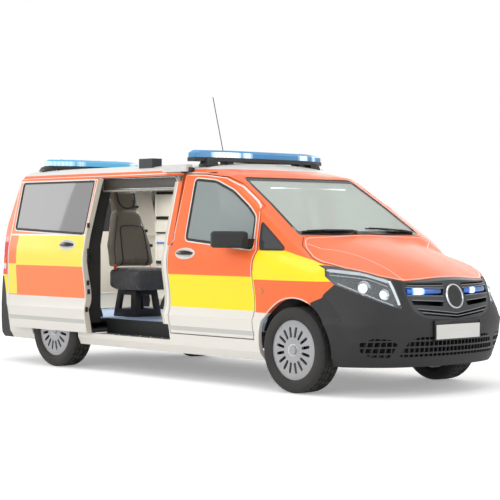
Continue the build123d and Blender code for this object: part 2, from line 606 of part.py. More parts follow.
with BuildPart() as front_bumper:
    add(nose_shell)
    add(side_slab(bumper_region, half_width + overrun, -half_width - overrun), mode=Mode.INTERSECT)
    add(grille_cut, mode=Mode.SUBTRACT)
    for cut in headlamp_cuts + lower_cuts:
        add(cut, mode=Mode.SUBTRACT)
    add(bonnet_cut, mode=Mode.SUBTRACT)
    add(front_underbody, mode=Mode.SUBTRACT)
    add(arch_cut, mode=Mode.SUBTRACT)
front_bumper.part.label = "front_bumper"
export_step(front_bumper.part, "parts/front_bumper.step")

with BuildPart() as headlamps:
    for cut in headlamp_cuts:
        with BuildPart(mode=Mode.PRIVATE) as lamp:
            add(nose_shell)
            add(cut, mode=Mode.INTERSECT)
            add(bonnet_cut, mode=Mode.SUBTRACT)
        add(lamp.part)
headlamps.part.label = "headlamps"
export_step(headlamps.part, "parts/headlamps.step")

# The shield between the lamps: winged bars either side of a round boss, two vee slots below
lean = math.radians(grille_boss_lean)
with BuildPart(Plane(origin=(grille_boss_x, 0, grille_boss_z),
                     z_dir=(math.cos(lean), 0, math.sin(lean)))) as grille_boss:
    Cylinder(grille_boss_radius, grille_boss_depth)
    chamfer(grille_boss.faces().sort_by(Axis.X)[-1].edges(), mesh_rib)
with BuildPart() as upper_grille:
    add(nose_shell)
    add(grille_cut, mode=Mode.INTERSECT)
    add(bonnet_cut, mode=Mode.SUBTRACT)
    for side in (1, -1):
        for slot in grille_slot_shares:
            slot_points = front_points([(side * y, z) for y, z in slot])
            add(front_slab(slot_points, lamp_rear_share * half_length, half_length + overrun),
                mode=Mode.SUBTRACT)
    for slot in grille_vee_shares:
        slot_points = front_points(slot)
        slot_points = slot_points[:3] + [slot_points[3]] + [(-y, z) for y, z in slot_points[2:0:-1]]
        add(front_slab(slot_points, lamp_rear_share * half_length, half_length + overrun),
            mode=Mode.SUBTRACT)
    add(grille_boss.part)
upper_grille.part.label = "upper_grille"
export_step(upper_grille.part, "parts/upper_grille.step")

# Lattice behind each lower opening: long bars crossed by thin ribs
lattice_box = lower_cuts[0].bounding_box()
lattice_rows = int(lattice_box.size.Z / mesh_pitch)
lattice_ribs = 2 * int(mesh_reach_share * half_width / mesh_rib_pitch) + 1
with BuildPart() as lattice:
    with BuildSketch(Plane.YZ.offset(fog_rear_share * half_length)):
        with Locations((0, (lattice_box.min.Z + lattice_box.max.Z) / 2)):
            with GridLocations(0, mesh_pitch, 1, lattice_rows):
                Rectangle(width, mesh_bar)
            with GridLocations(mesh_rib_pitch, 0, lattice_ribs, 1):
                Rectangle(mesh_rib, lattice_box.size.Z + mesh_pitch)
    extrude(amount=half_length)
with BuildPart() as lower_grilles:
    for cut in lower_cuts:
        with BuildPart(mode=Mode.PRIVATE) as grille:
            add(nose_shell)
            add(cut, mode=Mode.INTERSECT)
            add(lattice.part, mode=Mode.INTERSECT)
        add(grille.part)
lower_grilles.part.label = "lower_grilles"
export_step(lower_grilles.part, "parts/lower_grilles.step")

with BuildPart() as bonnet:
    add(nose_shell)
    add(plan_slab(bonnet_rim, bonnet_low, body_top), mode=Mode.INTERSECT)
    add(windscreen_cut, mode=Mode.SUBTRACT)
bonnet.part.label = "bonnet"
export_step(bonnet.part, "parts/bonnet.step")

# Glass
with BuildPart() as windscreen:
    add(glazing)
    add(windscreen_cut, mode=Mode.INTERSECT)
    add(bonnet_cut, mode=Mode.SUBTRACT)
windscreen.part.label = "windscreen"
export_step(windscreen.part, "parts/windscreen.step")

fixed_panes = [(quarter_glass_shares, 1), (quarter_glass_shares, -1), (mid_glass_shares, 1),
               (rear_glass_shares, 1), (rear_glass_shares, -1)]
with BuildPart() as side_windows:
    for shares, side in fixed_panes:
        with BuildPart(mode=Mode.PRIVATE) as pane:
            add(glazing)
            add(side_slab(side_points(shares), max(0, side * (half_width + overrun)),
                          min(0, side * (half_width + overrun))), mode=Mode.INTERSECT)
        add(pane.part)
side_windows.part.label = "side_windows"
export_step(side_windows.part, "parts/side_windows.step")

# Front doors
door_glass_points = side_points(door_glass_shares)
door_jamb_points = side_points(door_jamb_shares)
for name, side in (("left", 1), ("right", -1)):
    high, low = max(0, side * (half_width + overrun)), min(0, side * (half_width + overrun))
    with BuildPart() as door:
        add(shell)
        add(side_slab(door_points, high, low, inset=panel_gap), mode=Mode.INTERSECT)
        add(front_slab([(side * y, z) for y, z in front_points(side_zone_shares)], 0, half_length,
                       inset=panel_gap), mode=Mode.INTERSECT)
        add(side_slab(door_glass_points, high, low), mode=Mode.SUBTRACT)
        add(side_slab(door_jamb_points, high, low), mode=Mode.SUBTRACT)
    door.part.label = "door_" + name
    export_step(door.part, "parts/door_" + name + ".step")
    with BuildPart() as door_glass:
        add(glazing)
        add(side_slab(door_glass_points, high, low), mode=Mode.INTERSECT)
    door_glass.part.label = "door_glass_" + name
    export_step(door_glass.part, "parts/door_glass_" + name + ".step")

# Door mirrors
mirror_low = 1137.0
mirror_high = 1273.0
mirror_outer_y = 1124.0
mirror_round = 26.0
mirror_foot_rear_x = 1120.0
mirror_foot_front_x = 1188.0
mirror_foot_low = 1150.0
mirror_foot_height = 60.0
mirror_foot_inner_y = 860.0
mirror_foot_outer_y = 1020.0
mirror_plan_shares = (
    (0.356, 1.0207), (0.3502, 1.0581), (0.3502, 1.1535), (0.3619, 1.166), (0.3833, 1.1639),
    (0.4319, 1.1245), (0.4615, 1.0519), (0.4669, 1.0104), (0.4358, 1.0041),
)
with BuildPart() as mirror_block:
    with BuildSketch(Plane.XY.offset(mirror_low)):
        with BuildLine():
            Polyline([(x * half_length, y * half_width) for x, y in mirror_plan_shares], close=True)
        make_face()
    extrude(amount=mirror_high - mirror_low)
    fillet(mirror_block.edges().filter_by(Axis.Z).sort_by(Axis.Y)[-1], mirror_round / 2)
    fillet(mirror_block.faces().sort_by(Axis.Z)[-1].edges(), mirror_round)
    fillet(mirror_block.faces().sort_by(Axis.Z)[0].edges(), mirror_round)
    add(block((mirror_foot_rear_x, mirror_foot_inner_y, mirror_foot_low),
              (mirror_foot_front_x, mirror_foot_outer_y, mirror_foot_low + mirror_foot_height)))
for name, flip in (("left", False), ("right", True)):
    with BuildPart() as door_mirror:
        if flip:
            mirror(mirror_block.part, about=Plane.XZ)
        else:
            add(mirror_block.part)
        add(outer, mode=Mode.SUBTRACT)
    door_mirror.part.label = "mirror_" + name
    export_step(door_mirror.part, "parts/mirror_" + name + ".step")

# Sliding door, held open: moved back by its own width and out past the rear wheel
slide_travel_share = 0.42
slide_travel = slide_travel_share * half_length
slide_out = 75.0
slide_shift = Location((-slide_travel, -slide_out, 0))
with BuildPart() as slide_panel:
    add(shell)
    add(side_slab(side_points(slide_shares), 0, -half_width - overrun, inset=panel_gap), mode=Mode.INTERSECT)
    add(slide_glass_region, mode=Mode.SUBTRACT)
    add(sill_inner, mode=Mode.SUBTRACT)
with BuildPart() as slide_door:
    with Locations(slide_shift):
        add(slide_panel.part)
slide_door.part.label = "slide_door"
export_step(slide_door.part, "parts/slide_door.step")
with BuildPart() as slide_pane:
    add(glazing)
    add(slide_glass_region, mode=Mode.INTERSECT)
with BuildPart() as slide_door_glass:
    with Locations(slide_shift):
        add(slide_pane.part)
slide_door_glass.part.label = "slide_door_glass"
export_step(slide_door_glass.part, "parts/slide_door_glass.step")

# Rail on the rear quarter and the carriage that holds the sliding door
rail_z = 1150.0
rail_section = 24.0
rail_out_share = 0.992
carriage_out_share = 0.9985
rail_front_share = -0.43
rail_rear_share = -0.70
carriage_length = 90.0
with BuildPart() as slide_rail:
    add(block((rail_rear_share * half_length, -half_width * rail_out_share, rail_z - rail_section / 2),
              (rail_front_share * half_length, 0, rail_z + rail_section / 2)))
    add(block((rail_front_share * half_length - carriage_length * 2, -half_width * carriage_out_share,
               rail_z - rail_section / 2), (rail_front_share * half_length - carriage_length, 0, rail_z + rail_section / 2)))
    add(outer, mode=Mode.SUBTRACT)
slide_rail.part.label = "slide_rail"
export_step(slide_rail.part, "parts/slide_rail.step")

# Tail
with BuildPart() as tailgate:
    add(shell)
    add(front_slab(front_points(tailgate_shares), -half_length - overrun, -half_length + overrun,
                   inset=lid_gap), mode=Mode.INTERSECT)
    add(front_slab(front_points(tailgate_glass_shares), -half_length - overrun, -half_length + overrun),
        mode=Mode.SUBTRACT)
tailgate.part.label = "tailgate"
export_step(tailgate.part, "parts/tailgate.step")
with BuildPart() as tailgate_glass:
    add(glazing)
    add(front_slab(front_points(tailgate_glass_shares), -half_length - overrun, -half_length + overrun),
        mode=Mode.INTERSECT)
tailgate_glass.part.label = "tailgate_glass"
export_step(tailgate_glass.part, "parts/tailgate_glass.step")

with BuildPart() as tail_lamps:
    for cut in tail_lamp_cuts:
        with BuildPart(mode=Mode.PRIVATE) as lamp:
            add(shell)
            add(cut, mode=Mode.INTERSECT)
            add(tailgate_cut, mode=Mode.SUBTRACT)
        add(lamp.part)
tail_lamps.part.label = "tail_lamps"
export_step(tail_lamps.part, "parts/tail_lamps.step")

with BuildPart() as rear_bumper:
    add(shell)
    add(side_slab(rear_bumper_region, half_width + overrun, -half_width - overrun), mode=Mode.INTERSECT)
    add(tailgate_cut, mode=Mode.SUBTRACT)
    for cut in tail_lamp_cuts:
        add(cut, mode=Mode.SUBTRACT)
rear_bumper.part.label = "rear_bumper"
export_step(rear_bumper.part, "parts/rear_bumper.step")

# Wheels: a steel rim behind a slotted cover, with a tyre seated on the bead
tyre_half = tyre_width / 2
bead_y = 78.0
shoulder_half = 94.5
tread_half = 56.25
shoulder_radius = 328.0
sidewall_radius = 285.0
rim_half = 95.0
cover_radius = 237.0
cover_y = 84.0
bore_depth = 150.0
boss_half = 44.0
with BuildPart() as tyre_shape:
    with BuildSketch(Plane.XY):
        with BuildLine():
            Polyline((tyre_bead_radius + seat_gap, 0), (tyre_bead_radius + seat_gap, bead_y),
                     (sidewall_radius, tyre_half), (shoulder_radius, shoulder_half), (tyre_radius, tread_half),
                     (tyre_radius, 0))
            mirror(about=Plane.XZ)
        make_face()
    revolve(axis=Axis.Y)
with BuildPart() as wheel_shape:
    with BuildSketch(Plane.XY):
        with BuildLine():
            Polyline((spindle_radius + spindle_play, -boss_half), (hub_radius, -boss_half), (hub_radius, cover_y - cover_depth),
                     (rim_radius - rim_wall, cover_y - cover_depth), (rim_radius - rim_wall, -rim_half),
                     (rim_radius, -rim_half), (rim_radius, cover_y), (cover_radius, cover_y),
                     (cover_radius, cover_y + cover_depth / 2), ((slot_outer_radius + cover_radius) / 2, cover_y + cover_depth),
                     (hub_radius, cover_y + cover_crown), (cap_radius, cover_y + cover_crown),
                     (cap_radius, cover_y + cover_crown + cap_height), (0, cover_y + cover_crown + cap_height),
                     (0, bore_depth - boss_half * 2), (spindle_radius + spindle_play, bore_depth - boss_half * 2), close=True)
        make_face()
    revolve(axis=Axis.Y)
    with BuildSketch(Plane.XZ.offset(-cover_y - cover_crown)):
        with PolarLocations((slot_inner_radius + slot_outer_radius) / 2, slot_count, start_angle=180 / slot_count):
            SlotOverall(slot_outer_radius - slot_inner_radius, slot_width)
    extrude(amount=cover_depth + cover_crown * 2, mode=Mode.SUBTRACT)
wheel_places = (("front_left", front_axle_x, 1), ("front_right", front_axle_x, -1),
                ("rear_left", rear_axle_x, 1), ("rear_right", rear_axle_x, -1))
for name, x, side in wheel_places:
    place = Location((x, side * half_track, tyre_radius), (0, 0, 0 if side > 0 else 180))
    with BuildPart() as tyre:
        with Locations(place):
            add(tyre_shape.part)
    tyre.part.label = "tyre_" + name
    export_step(tyre.part, "parts/tyre_" + name + ".step")
    with BuildPart() as wheel:
        with Locations(place):
            add(wheel_shape.part)
    wheel.part.label = "wheel_" + name
    export_step(wheel.part, "parts/wheel_" + name + ".step")

# Front knuckles: a hub carrier with its spindle and two ball studs on the king-pin line
carrier_inner_y = 735.0
carrier_outer_y = half_track - boss_half - panel_gap
carrier_radius = 66.0
stud_rise = 165.0
stud_radius = 14.0
stud_length = 30.0
arm_thickness = 36.0
arm_width = 60.0
spindle_end_y = half_track + bore_depth - boss_half * 2 - panel_gap
steer_arm_x = 130.0
with BuildPart() as knuckle_shape:
    add(drum(0, carrier_outer_y, carrier_inner_y, 0, carrier_radius))
    add(drum(0, spindle_end_y, carrier_outer_y, 0, spindle_radius))
    for lift in (1, -1):
        add(block((-arm_width / 2, carrier_inner_y, min(0, lift * (stud_rise - stud_length))),
                  (arm_width / 2, carrier_inner_y + arm_thickness, max(0, lift * (stud_rise - stud_length)))))
        add(block((-arm_width / 2, carrier_inner_y, lift * (stud_rise - stud_length) - arm_thickness / 4),
                  (arm_width / 2, king_pin_y + stud_radius * 1.5, lift * (stud_rise - stud_length) + arm_thickness / 4)))
        add(tube((0, king_pin_y, lift * (stud_rise - stud_length)),
                 (0, king_pin_y, lift * (stud_rise + stud_length)), stud_radius))
    add(block((-steer_arm_x, carrier_inner_y, -arm_thickness / 2), (0, carrier_inner_y + arm_thickness / 2, arm_thickness / 2)))
for name, flip in (("left", False), ("right", True)):
    with BuildPart(Plane.XY) as knuckle:
        with Locations(Location((front_axle_x, 0, tyre_radius))):
            if flip:
                add(knuckle_shape.part.mirror(Plane.XZ))
            else:
                add(knuckle_shape.part)
    knuckle.part.label = "knuckle_" + name
    export_step(knuckle.part, "parts/knuckle_" + name + ".step")

# Front suspension: a cross member, lower and upper arms with eyes, and a strut on each side
eye_radius = 30.0
eye_height = 20.0
strut_y = 600.0
strut_radius = 42.0
strut_top = arch_z + math.sqrt(arch_radius ** 2 - strut_radius ** 2) - seat_gap
member_half = 75.0
member_low = 190.0
member_height = 60.0
link_half_width = 26.0
with BuildPart() as front_suspension:
    add(block((front_axle_x - member_half, -strut_y, member_low), (front_axle_x + member_half, strut_y,
                                                                  member_low + member_height)))
    for side in (1, -1):
        add(tube((front_axle_x, side * strut_y, member_low), (front_axle_x, side * strut_y, strut_top), strut_radius))
        for lift in (1, -1):
            z = tyre_radius + lift * stud_rise
            add(block((front_axle_x - link_half_width, min(side * strut_y, side * king_pin_y), z - eye_height / 2),
                      (front_axle_x + link_half_width, max(side * strut_y, side * king_pin_y), z + eye_height / 2)))
            add(tube((front_axle_x, side * king_pin_y, z - eye_height / 2),
                     (front_axle_x, side * king_pin_y, z + eye_height / 2), eye_radius))
        add(tube((front_axle_x, side * king_pin_y, 0), (front_axle_x, side * king_pin_y, strut_top),
                 stud_radius + spindle_play), mode=Mode.SUBTRACT)
front_suspension.part.label = "front_suspension"
export_step(front_suspension.part, "parts/front_suspension.step")

# Rear axle: beam, flanges and spindles, with trailing arms up to the floor rails
beam_radius = 45.0
flange_radius = 80.0
trail_x = 620.0
trail_y = 560.0
trail_radius = 28.0
with BuildPart() as rear_axle:
    add(drum(rear_axle_x, carrier_inner_y, -carrier_inner_y, tyre_radius, beam_radius))
    for side in (1, -1):
        near, far = side * carrier_inner_y, side * carrier_outer_y
        add(drum(rear_axle_x, max(near, far), min(near, far), tyre_radius, flange_radius))
        near, far = side * carrier_outer_y, side * spindle_end_y
        add(drum(rear_axle_x, max(near, far), min(near, far), tyre_radius, spindle_radius))
        add(tube((rear_axle_x, side * trail_y, tyre_radius),
                 (rear_axle_x + trail_x, side * trail_y, floor_low - trail_radius - seat_gap), trail_radius))
        add(tube((rear_axle_x, side * trail_y, tyre_radius),
                 (rear_axle_x, side * trail_y, floor_low - seat_gap), strut_radius))
rear_axle.part.label = "rear_axle"
export_step(rear_axle.part, "parts/rear_axle.step")

# Engine and gearbox as one plain block, on the cross member; fuel tank and exhaust under the floor
engine_half_width = 300.0
engine_rear_x = floor_front + floor_thickness + wall
engine_front_x = 2180.0
engine_low = member_low + member_height + seat_gap
engine_top = 860.0
with BuildPart() as engine:
    add(block((engine_rear_x, -engine_half_width, engine_low), (engine_front_x, engine_half_width, engine_top)))
    chamfer(engine.edges().filter_by(Axis.X), wall)
engine.part.label = "engine"
export_step(engine.part, "parts/engine.step")

tank_low = 220.0
tank_length = 900.0
tank_rear_x = -650.0
with BuildPart() as fuel_tank:
    add(block((tank_rear_x, -rail_y + rail_width / 2 + seat_gap, tank_low),
              (tank_rear_x + tank_length, rail_y - rail_width / 2 - seat_gap, floor_low - seat_gap)))
    fillet(fuel_tank.edges().filter_by(Axis.X), wall / 2)
fuel_tank.part.label = "fuel_tank"
export_step(fuel_tank.part, "parts/fuel_tank.step")

pipe_radius = 30.0
silencer_radius = 84.0
silencer_length = 600.0
pipe_y = 605.0
pipe_z = floor_low - silencer_radius - seat_gap
pipe_front_x = front_axle_x - arch_radius - liner * 4
with BuildPart() as exhaust:
    add(tube((rear_axle_x + trail_x + wall, pipe_y, pipe_z), (pipe_front_x, pipe_y, pipe_z), pipe_radius))
    add(tube((tank_rear_x + wall, pipe_y, pipe_z), (tank_rear_x + wall + silencer_length, pipe_y, pipe_z), silencer_radius))
exhaust.part.label = "exhaust"
export_step(exhaust.part, "parts/exhaust.step")

# Cab seats: cushion, back and headrest on a box base
seat_y = 450.0
seat_width = 520.0
seat_front_x = 640.0
cushion_length = 500.0
cushion_height = 130.0
cushion_top = 900.0
back_height = 560.0
back_thickness = 130.0
back_lean = 12.0
seat_round = 35.0
headrest_width = 270.0
headrest_height = 170.0
headrest_thickness = 100.0
headrest_lift = 40.0
base_share = 0.8


def seat(front_x, middle_y, top, seat_across, facing):
    back_x = front_x - facing * cushion_length
    with BuildPart() as cushion:
        with Locations((front_x - facing * cushion_length / 2, middle_y, top - cushion_height / 2)):
            Box(cushion_length, seat_across, cushion_height)
        fillet(cushion.edges(), seat_round)
    lean = math.radians(back_lean)
    back_drop = seat_round - seat_round * math.cos(lean) + (back_thickness / 2 - seat_round) * math.sin(lean)
    back_x = back_x + facing * (back_thickness / 2 + seat_round / 4)
    with BuildPart(Plane(origin=(back_x, middle_y, top + back_drop + seat_gap),
                         x_dir=(1, 0, 0), z_dir=(-facing * math.sin(lean), 0,
                                                 math.cos(lean)))) as back:
        with Locations((0, 0, back_height / 2)):
            Box(back_thickness, seat_across, back_height)
        fillet(back.edges(), seat_round)
        with Locations((0, 0, back_height + headrest_lift + headrest_height / 2)):
            Box(headrest_thickness, headrest_width, headrest_height)
        with Locations((0, 0, back_height + headrest_lift / 2)):
            Cylinder(seat_round / 4, headrest_lift * 2)
    return cushion.part, back.part


with BuildPart() as front_seats:
    for side in (1, -1):
        cushion, back = seat(seat_front_x, side * seat_y, cushion_top, seat_width, 1)
        add(cushion)
        add(back)
front_seats.part.label = "front_seats"
export_step(front_seats.part, "parts/front_seats.step")

with BuildPart() as seat_bases:
    for side in (1, -1):
        add(block((seat_front_x - cushion_length * base_share - seat_round * 2,
                   side * seat_y - seat_width * base_share / 2, floor_height),
                  (seat_front_x - seat_round * 2, side * seat_y + seat_width * base_share / 2,
                   cushion_top - cushion_height - seat_gap)))
seat_bases.part.label = "seat_bases"
export_step(seat_bases.part, "parts/seat_bases.step")

# Dashboard across the cab, and the steering wheel on its column
dash_half_width = 800.0
dash_shares = (
    (0.4591, 0.4032), (0.4553, 0.5942), (0.4825, 0.6207), (0.5953, 0.6313), (0.5953, 0.6005),
    (0.5449, 0.5899), (0.5449, 0.4032),
)
wheel_rim_radius = 190.0
wheel_rim_section = 14.0
wheel_hub_radius = 57.0
steer_x = 1000.0
steer_z = 1090.0
steer_tilt = 60.0
column_radius = 24.0
column_length = 185.3
with BuildPart() as dashboard:
    add(side_slab(side_points(dash_shares), dash_half_width, -dash_half_width))
    add(lining_form, mode=Mode.INTERSECT)
    add(arch_cut, mode=Mode.SUBTRACT)
dashboard.part.label = "dashboard"
export_step(dashboard.part, "parts/dashboard.step")

steer_axis = (-math.sin(math.radians(steer_tilt)), 0, math.cos(math.radians(steer_tilt)))
with BuildPart(Plane(origin=(steer_x, seat_y, steer_z), z_dir=steer_axis)) as steering_wheel:
    Torus(wheel_rim_radius, wheel_rim_section)
    with PolarLocations(wheel_rim_radius / 2, 3):
        Box(wheel_rim_radius, wheel_rim_section * 2, wheel_rim_section)
    Cylinder(wheel_hub_radius, wheel_rim_section * 2)
    Cylinder(column_radius, column_length, align=(Align.CENTER, Align.CENTER, Align.MAX))
steering_wheel.part.label = "steering_wheel"
export_step(steering_wheel.part, "parts/steering_wheel.step")

# Load space: a cabinet with drawers on the left wall and the attendant's seat on its pedestal
cabinet_rear_x = -640.0
cabinet_front_x = -130.0
cabinet_inner_y = 300.0
cabinet_outer_y = 780.0
cabinet_top = 1500.0
drawer_count = 4
drawer_reveal = 8.0
drawer_margin = 40.0
handle_depth = 18.0
handle_height = 30.0
with BuildPart() as cabinet:
    add(block((cabinet_rear_x, cabinet_inner_y, floor_height), (cabinet_front_x, cabinet_outer_y, cabinet_top)))
    chamfer(cabinet.edges().filter_by(Axis.X).sort_by(Axis.Y)[-1], handle_depth * 2)
    pitch = (cabinet_top - floor_height - drawer_margin) / drawer_count
    for step in range(drawer_count):
        low = floor_height + drawer_margin + step * pitch
        add(block((cabinet_rear_x + drawer_margin, cabinet_inner_y - drawer_reveal, low),
                  (cabinet_front_x - drawer_margin, cabinet_inner_y, low + pitch - drawer_margin)))
        add(block((cabinet_rear_x + drawer_margin * 4, cabinet_inner_y - handle_depth, low + pitch / 2),
                  (cabinet_front_x - drawer_margin * 4, cabinet_inner_y, low + pitch / 2 + handle_height)))
cabinet.part.label = "cabinet"
export_step(cabinet.part, "parts/cabinet.step")

attendant_front_x = -700.0
attendant_y = -300.0
attendant_top = 910.0
attendant_width = 500.0
with BuildPart() as attendant_seat:
    cushion, back = seat(attendant_front_x - seat_round, attendant_y, attendant_top, attendant_width, 1)
    add(cushion)
    add(back)
attendant_seat.part.label = "attendant_seat"
export_step(attendant_seat.part, "parts/attendant_seat.step")

pedestal_low_half = 230.0
pedestal_high_half = 150.0
pedestal_window = 110.0
with BuildPart() as seat_pedestal:
    with BuildSketch(Plane.XY.offset(floor_height)):
        with Locations((attendant_front_x - cushion_length / 2, attendant_y)):
            Rectangle(pedestal_low_half * 2, pedestal_low_half * 2)
    with BuildSketch(Plane.XY.offset(attendant_top - cushion_height - seat_gap)):
        with Locations((attendant_front_x - cushion_length / 2, attendant_y)):
            Rectangle(pedestal_high_half * 2, pedestal_high_half * 2)
    loft()
    with BuildSketch(Plane.XZ.offset(half_width)):
        with Locations((attendant_front_x - cushion_length / 2,
                        (floor_height + attendant_top - cushion_height) / 2)):
            RegularPolygon(pedestal_window, 6)
    extrude(amount=-length, mode=Mode.SUBTRACT)
seat_pedestal.part.label = "seat_pedestal"
export_step(seat_pedestal.part, "parts/seat_pedestal.step")

# Roof: two light bars, a flasher box, a scene lamp and a whip aerial
bar_front_x = 336.0
bar_rear_x = -2096.0
bar_half_width = 770.0
bar_rear_half_width = 560.0
bar_width = 150.0
bar_height = 62.0
bar_base_height = 34.0
bar_foot_y = 430.0
bar_foot_width = 70.0
bar_lift = 6.0
bar_sweep = 110.0
bar_bottom_share = 0.993
bar_round = 24.0
bar_straight_share = 0.6


def bar_outline(x, reach, grow):
    half = bar_width / 2 + grow
    return [(x + half, 0), (x + half, reach * bar_straight_share), (x + half - bar_sweep, reach + grow),
            (x - half - bar_sweep / 2, reach + grow), (x - half, reach * bar_straight_share), (x - half, 0)]


bar_bottom = bar_bottom_share * roof_height
with BuildPart() as light_bars:
    for x, reach in ((bar_front_x, bar_half_width), (bar_rear_x, bar_rear_half_width)):
        with BuildSketch(Plane.XY.offset(bar_bottom)):
            with BuildLine():
                Polyline(bar_outline(x, reach, 0))
                mirror(about=Plane.XZ)
            make_face()
        extrude(amount=bar_base_height)
        for side in (1, -1):
            add(block((x - bar_width / 3, side * bar_foot_y - bar_foot_width / 2, roof_height - wall),
                      (x + bar_width / 3, side * bar_foot_y + bar_foot_width / 2, bar_bottom)))
    add(outer, mode=Mode.SUBTRACT)
light_bars.part.label = "light_bars"
export_step(light_bars.part, "parts/light_bars.step")

with BuildPart() as light_bar_lenses:
    for x, reach in ((bar_front_x, bar_half_width), (bar_rear_x, bar_rear_half_width)):
        with BuildPart(mode=Mode.PRIVATE) as lens:
            with BuildSketch(Plane.XY.offset(bar_bottom + bar_base_height)):
                with BuildLine():
                    Polyline(bar_outline(x, reach, -bar_lift))
                    mirror(about=Plane.XZ)
                make_face()
            extrude(amount=bar_height)
            chamfer(lens.edges().group_by(Axis.Z)[-1], bar_round)
        add(lens.part)
light_bar_lenses.part.label = "light_bar_lenses"
export_step(light_bar_lenses.part, "parts/light_bar_lenses.step")

flasher_x = -460.0
flasher_length = 190.0
flasher_width = 110.0
flasher_top = 1918.0
flasher_y = 640.0
scene_lamp_x = 100.0
scene_lamp_length = 320.0
scene_lamp_z = 1812.0
scene_lamp_height = 60.0
scene_lamp_y = 795.0
scene_lamp_depth = 70.0
with BuildPart() as roof_lamps:
    add(block((flasher_x - flasher_length / 2, -flasher_y - flasher_width / 2, roof_height - wall * 2),
              (flasher_x + flasher_length / 2, -flasher_y + flasher_width / 2, flasher_top)))
    for side in (1, -1):
        add(block((scene_lamp_x - scene_lamp_length / 2, side * scene_lamp_y - scene_lamp_depth / 2,
                   scene_lamp_z - scene_lamp_height / 2),
                  (scene_lamp_x + scene_lamp_length / 2, side * scene_lamp_y + scene_lamp_depth / 2,
                   scene_lamp_z + scene_lamp_height / 2)))
    add(outer, mode=Mode.SUBTRACT)
roof_lamps.part.label = "roof_lamps"
export_step(roof_lamps.part, "parts/roof_lamps.step")

antenna_x = -170.0
antenna_base_radius = 32.0
antenna_base_height = 30.0
antenna_radius = 4.0
antenna_top = 2500.0
antenna_rake = 170.0
with BuildPart() as antenna:
    add(tube((antenna_x, 0, roof_height - wall / 2), (antenna_x, 0, roof_height + antenna_base_height), antenna_base_radius))
    add(outer, mode=Mode.SUBTRACT)
    add(tube((antenna_x, 0, roof_height + antenna_base_height / 2),
             (antenna_x - antenna_rake, 0, antenna_top), antenna_radius))
antenna.part.label = "antenna"
export_step(antenna.part, "parts/antenna.step")

# Blank number plates
plate_width = 520.0
plate_height = 112.0
plate_thickness = 6.0
front_plate_z = 497.0
rear_plate_z = 520.0
with BuildPart() as number_plates:
    add(block((half_length + seat_gap, -plate_width / 2, front_plate_z - plate_height / 2),
              (half_length + seat_gap + plate_thickness, plate_width / 2, front_plate_z + plate_height / 2)))
    add(block((-half_length - seat_gap - plate_thickness, -plate_width / 2, rear_plate_z - plate_height / 2),
              (-half_length - seat_gap, plate_width / 2, rear_plate_z + plate_height / 2)))
number_plates.part.label = "number_plates"
export_step(number_plates.part, "parts/number_plates.step")
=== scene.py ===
import json
import math
import bpy
from mathutils import Vector, Matrix
from mathutils.bvhtree import BVHTree

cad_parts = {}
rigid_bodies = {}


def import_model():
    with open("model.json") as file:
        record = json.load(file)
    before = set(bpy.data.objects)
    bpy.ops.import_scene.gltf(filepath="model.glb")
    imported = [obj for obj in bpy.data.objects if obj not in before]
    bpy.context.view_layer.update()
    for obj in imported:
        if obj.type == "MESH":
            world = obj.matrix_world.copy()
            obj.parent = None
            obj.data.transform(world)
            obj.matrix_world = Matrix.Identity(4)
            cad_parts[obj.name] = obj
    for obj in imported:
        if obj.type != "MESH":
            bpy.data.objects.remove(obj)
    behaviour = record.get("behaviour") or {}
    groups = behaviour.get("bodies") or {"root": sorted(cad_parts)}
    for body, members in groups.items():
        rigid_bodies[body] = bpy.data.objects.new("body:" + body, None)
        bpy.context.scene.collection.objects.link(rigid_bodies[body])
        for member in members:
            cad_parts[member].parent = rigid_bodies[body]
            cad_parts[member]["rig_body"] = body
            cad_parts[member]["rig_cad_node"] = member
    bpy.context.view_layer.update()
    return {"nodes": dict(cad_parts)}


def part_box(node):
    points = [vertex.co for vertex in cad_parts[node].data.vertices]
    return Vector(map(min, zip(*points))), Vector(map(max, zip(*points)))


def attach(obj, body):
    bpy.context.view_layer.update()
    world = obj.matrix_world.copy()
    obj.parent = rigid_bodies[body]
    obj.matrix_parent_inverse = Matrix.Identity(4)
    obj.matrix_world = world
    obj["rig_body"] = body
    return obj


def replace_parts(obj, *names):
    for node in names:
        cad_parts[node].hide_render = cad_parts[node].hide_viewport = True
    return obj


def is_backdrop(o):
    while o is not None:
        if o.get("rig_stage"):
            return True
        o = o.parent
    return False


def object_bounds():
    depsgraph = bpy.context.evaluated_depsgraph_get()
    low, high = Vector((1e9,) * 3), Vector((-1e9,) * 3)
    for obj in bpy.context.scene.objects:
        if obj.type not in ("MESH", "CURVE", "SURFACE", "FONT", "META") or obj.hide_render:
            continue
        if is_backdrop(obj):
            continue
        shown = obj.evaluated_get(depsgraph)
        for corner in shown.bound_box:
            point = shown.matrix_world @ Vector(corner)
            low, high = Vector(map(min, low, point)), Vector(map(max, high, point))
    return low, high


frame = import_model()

nodes = frame["nodes"]
scene = bpy.context.scene
scene.view_settings.view_transform = "Standard"

CAMERA_PLACE, LENS_MM = (10.3378, -9.3706, 1.2903), 111.11
FRONT_AXLE, REAR_AXLE, HALF_TRACK, TYRE_RADIUS = 1.675, -1.525, 0.833, 0.34
ARCH_RADIUS, ARCH_HEIGHT = 0.392, 0.360
AMBIENT, BACKDROP = 0.50, 1.0
FLOOR_NEAR, FLOOR_FAR = 3.5, 12.0
MERGE_GAP, SMOOTH_BELOW = 0.00004, math.radians(24)
SQUARE_ON = 0.9
PAD_FRAMES = 20
SIDES = ((1, "left"), (-1, "right"))

# ---- Camera, lamps and floor


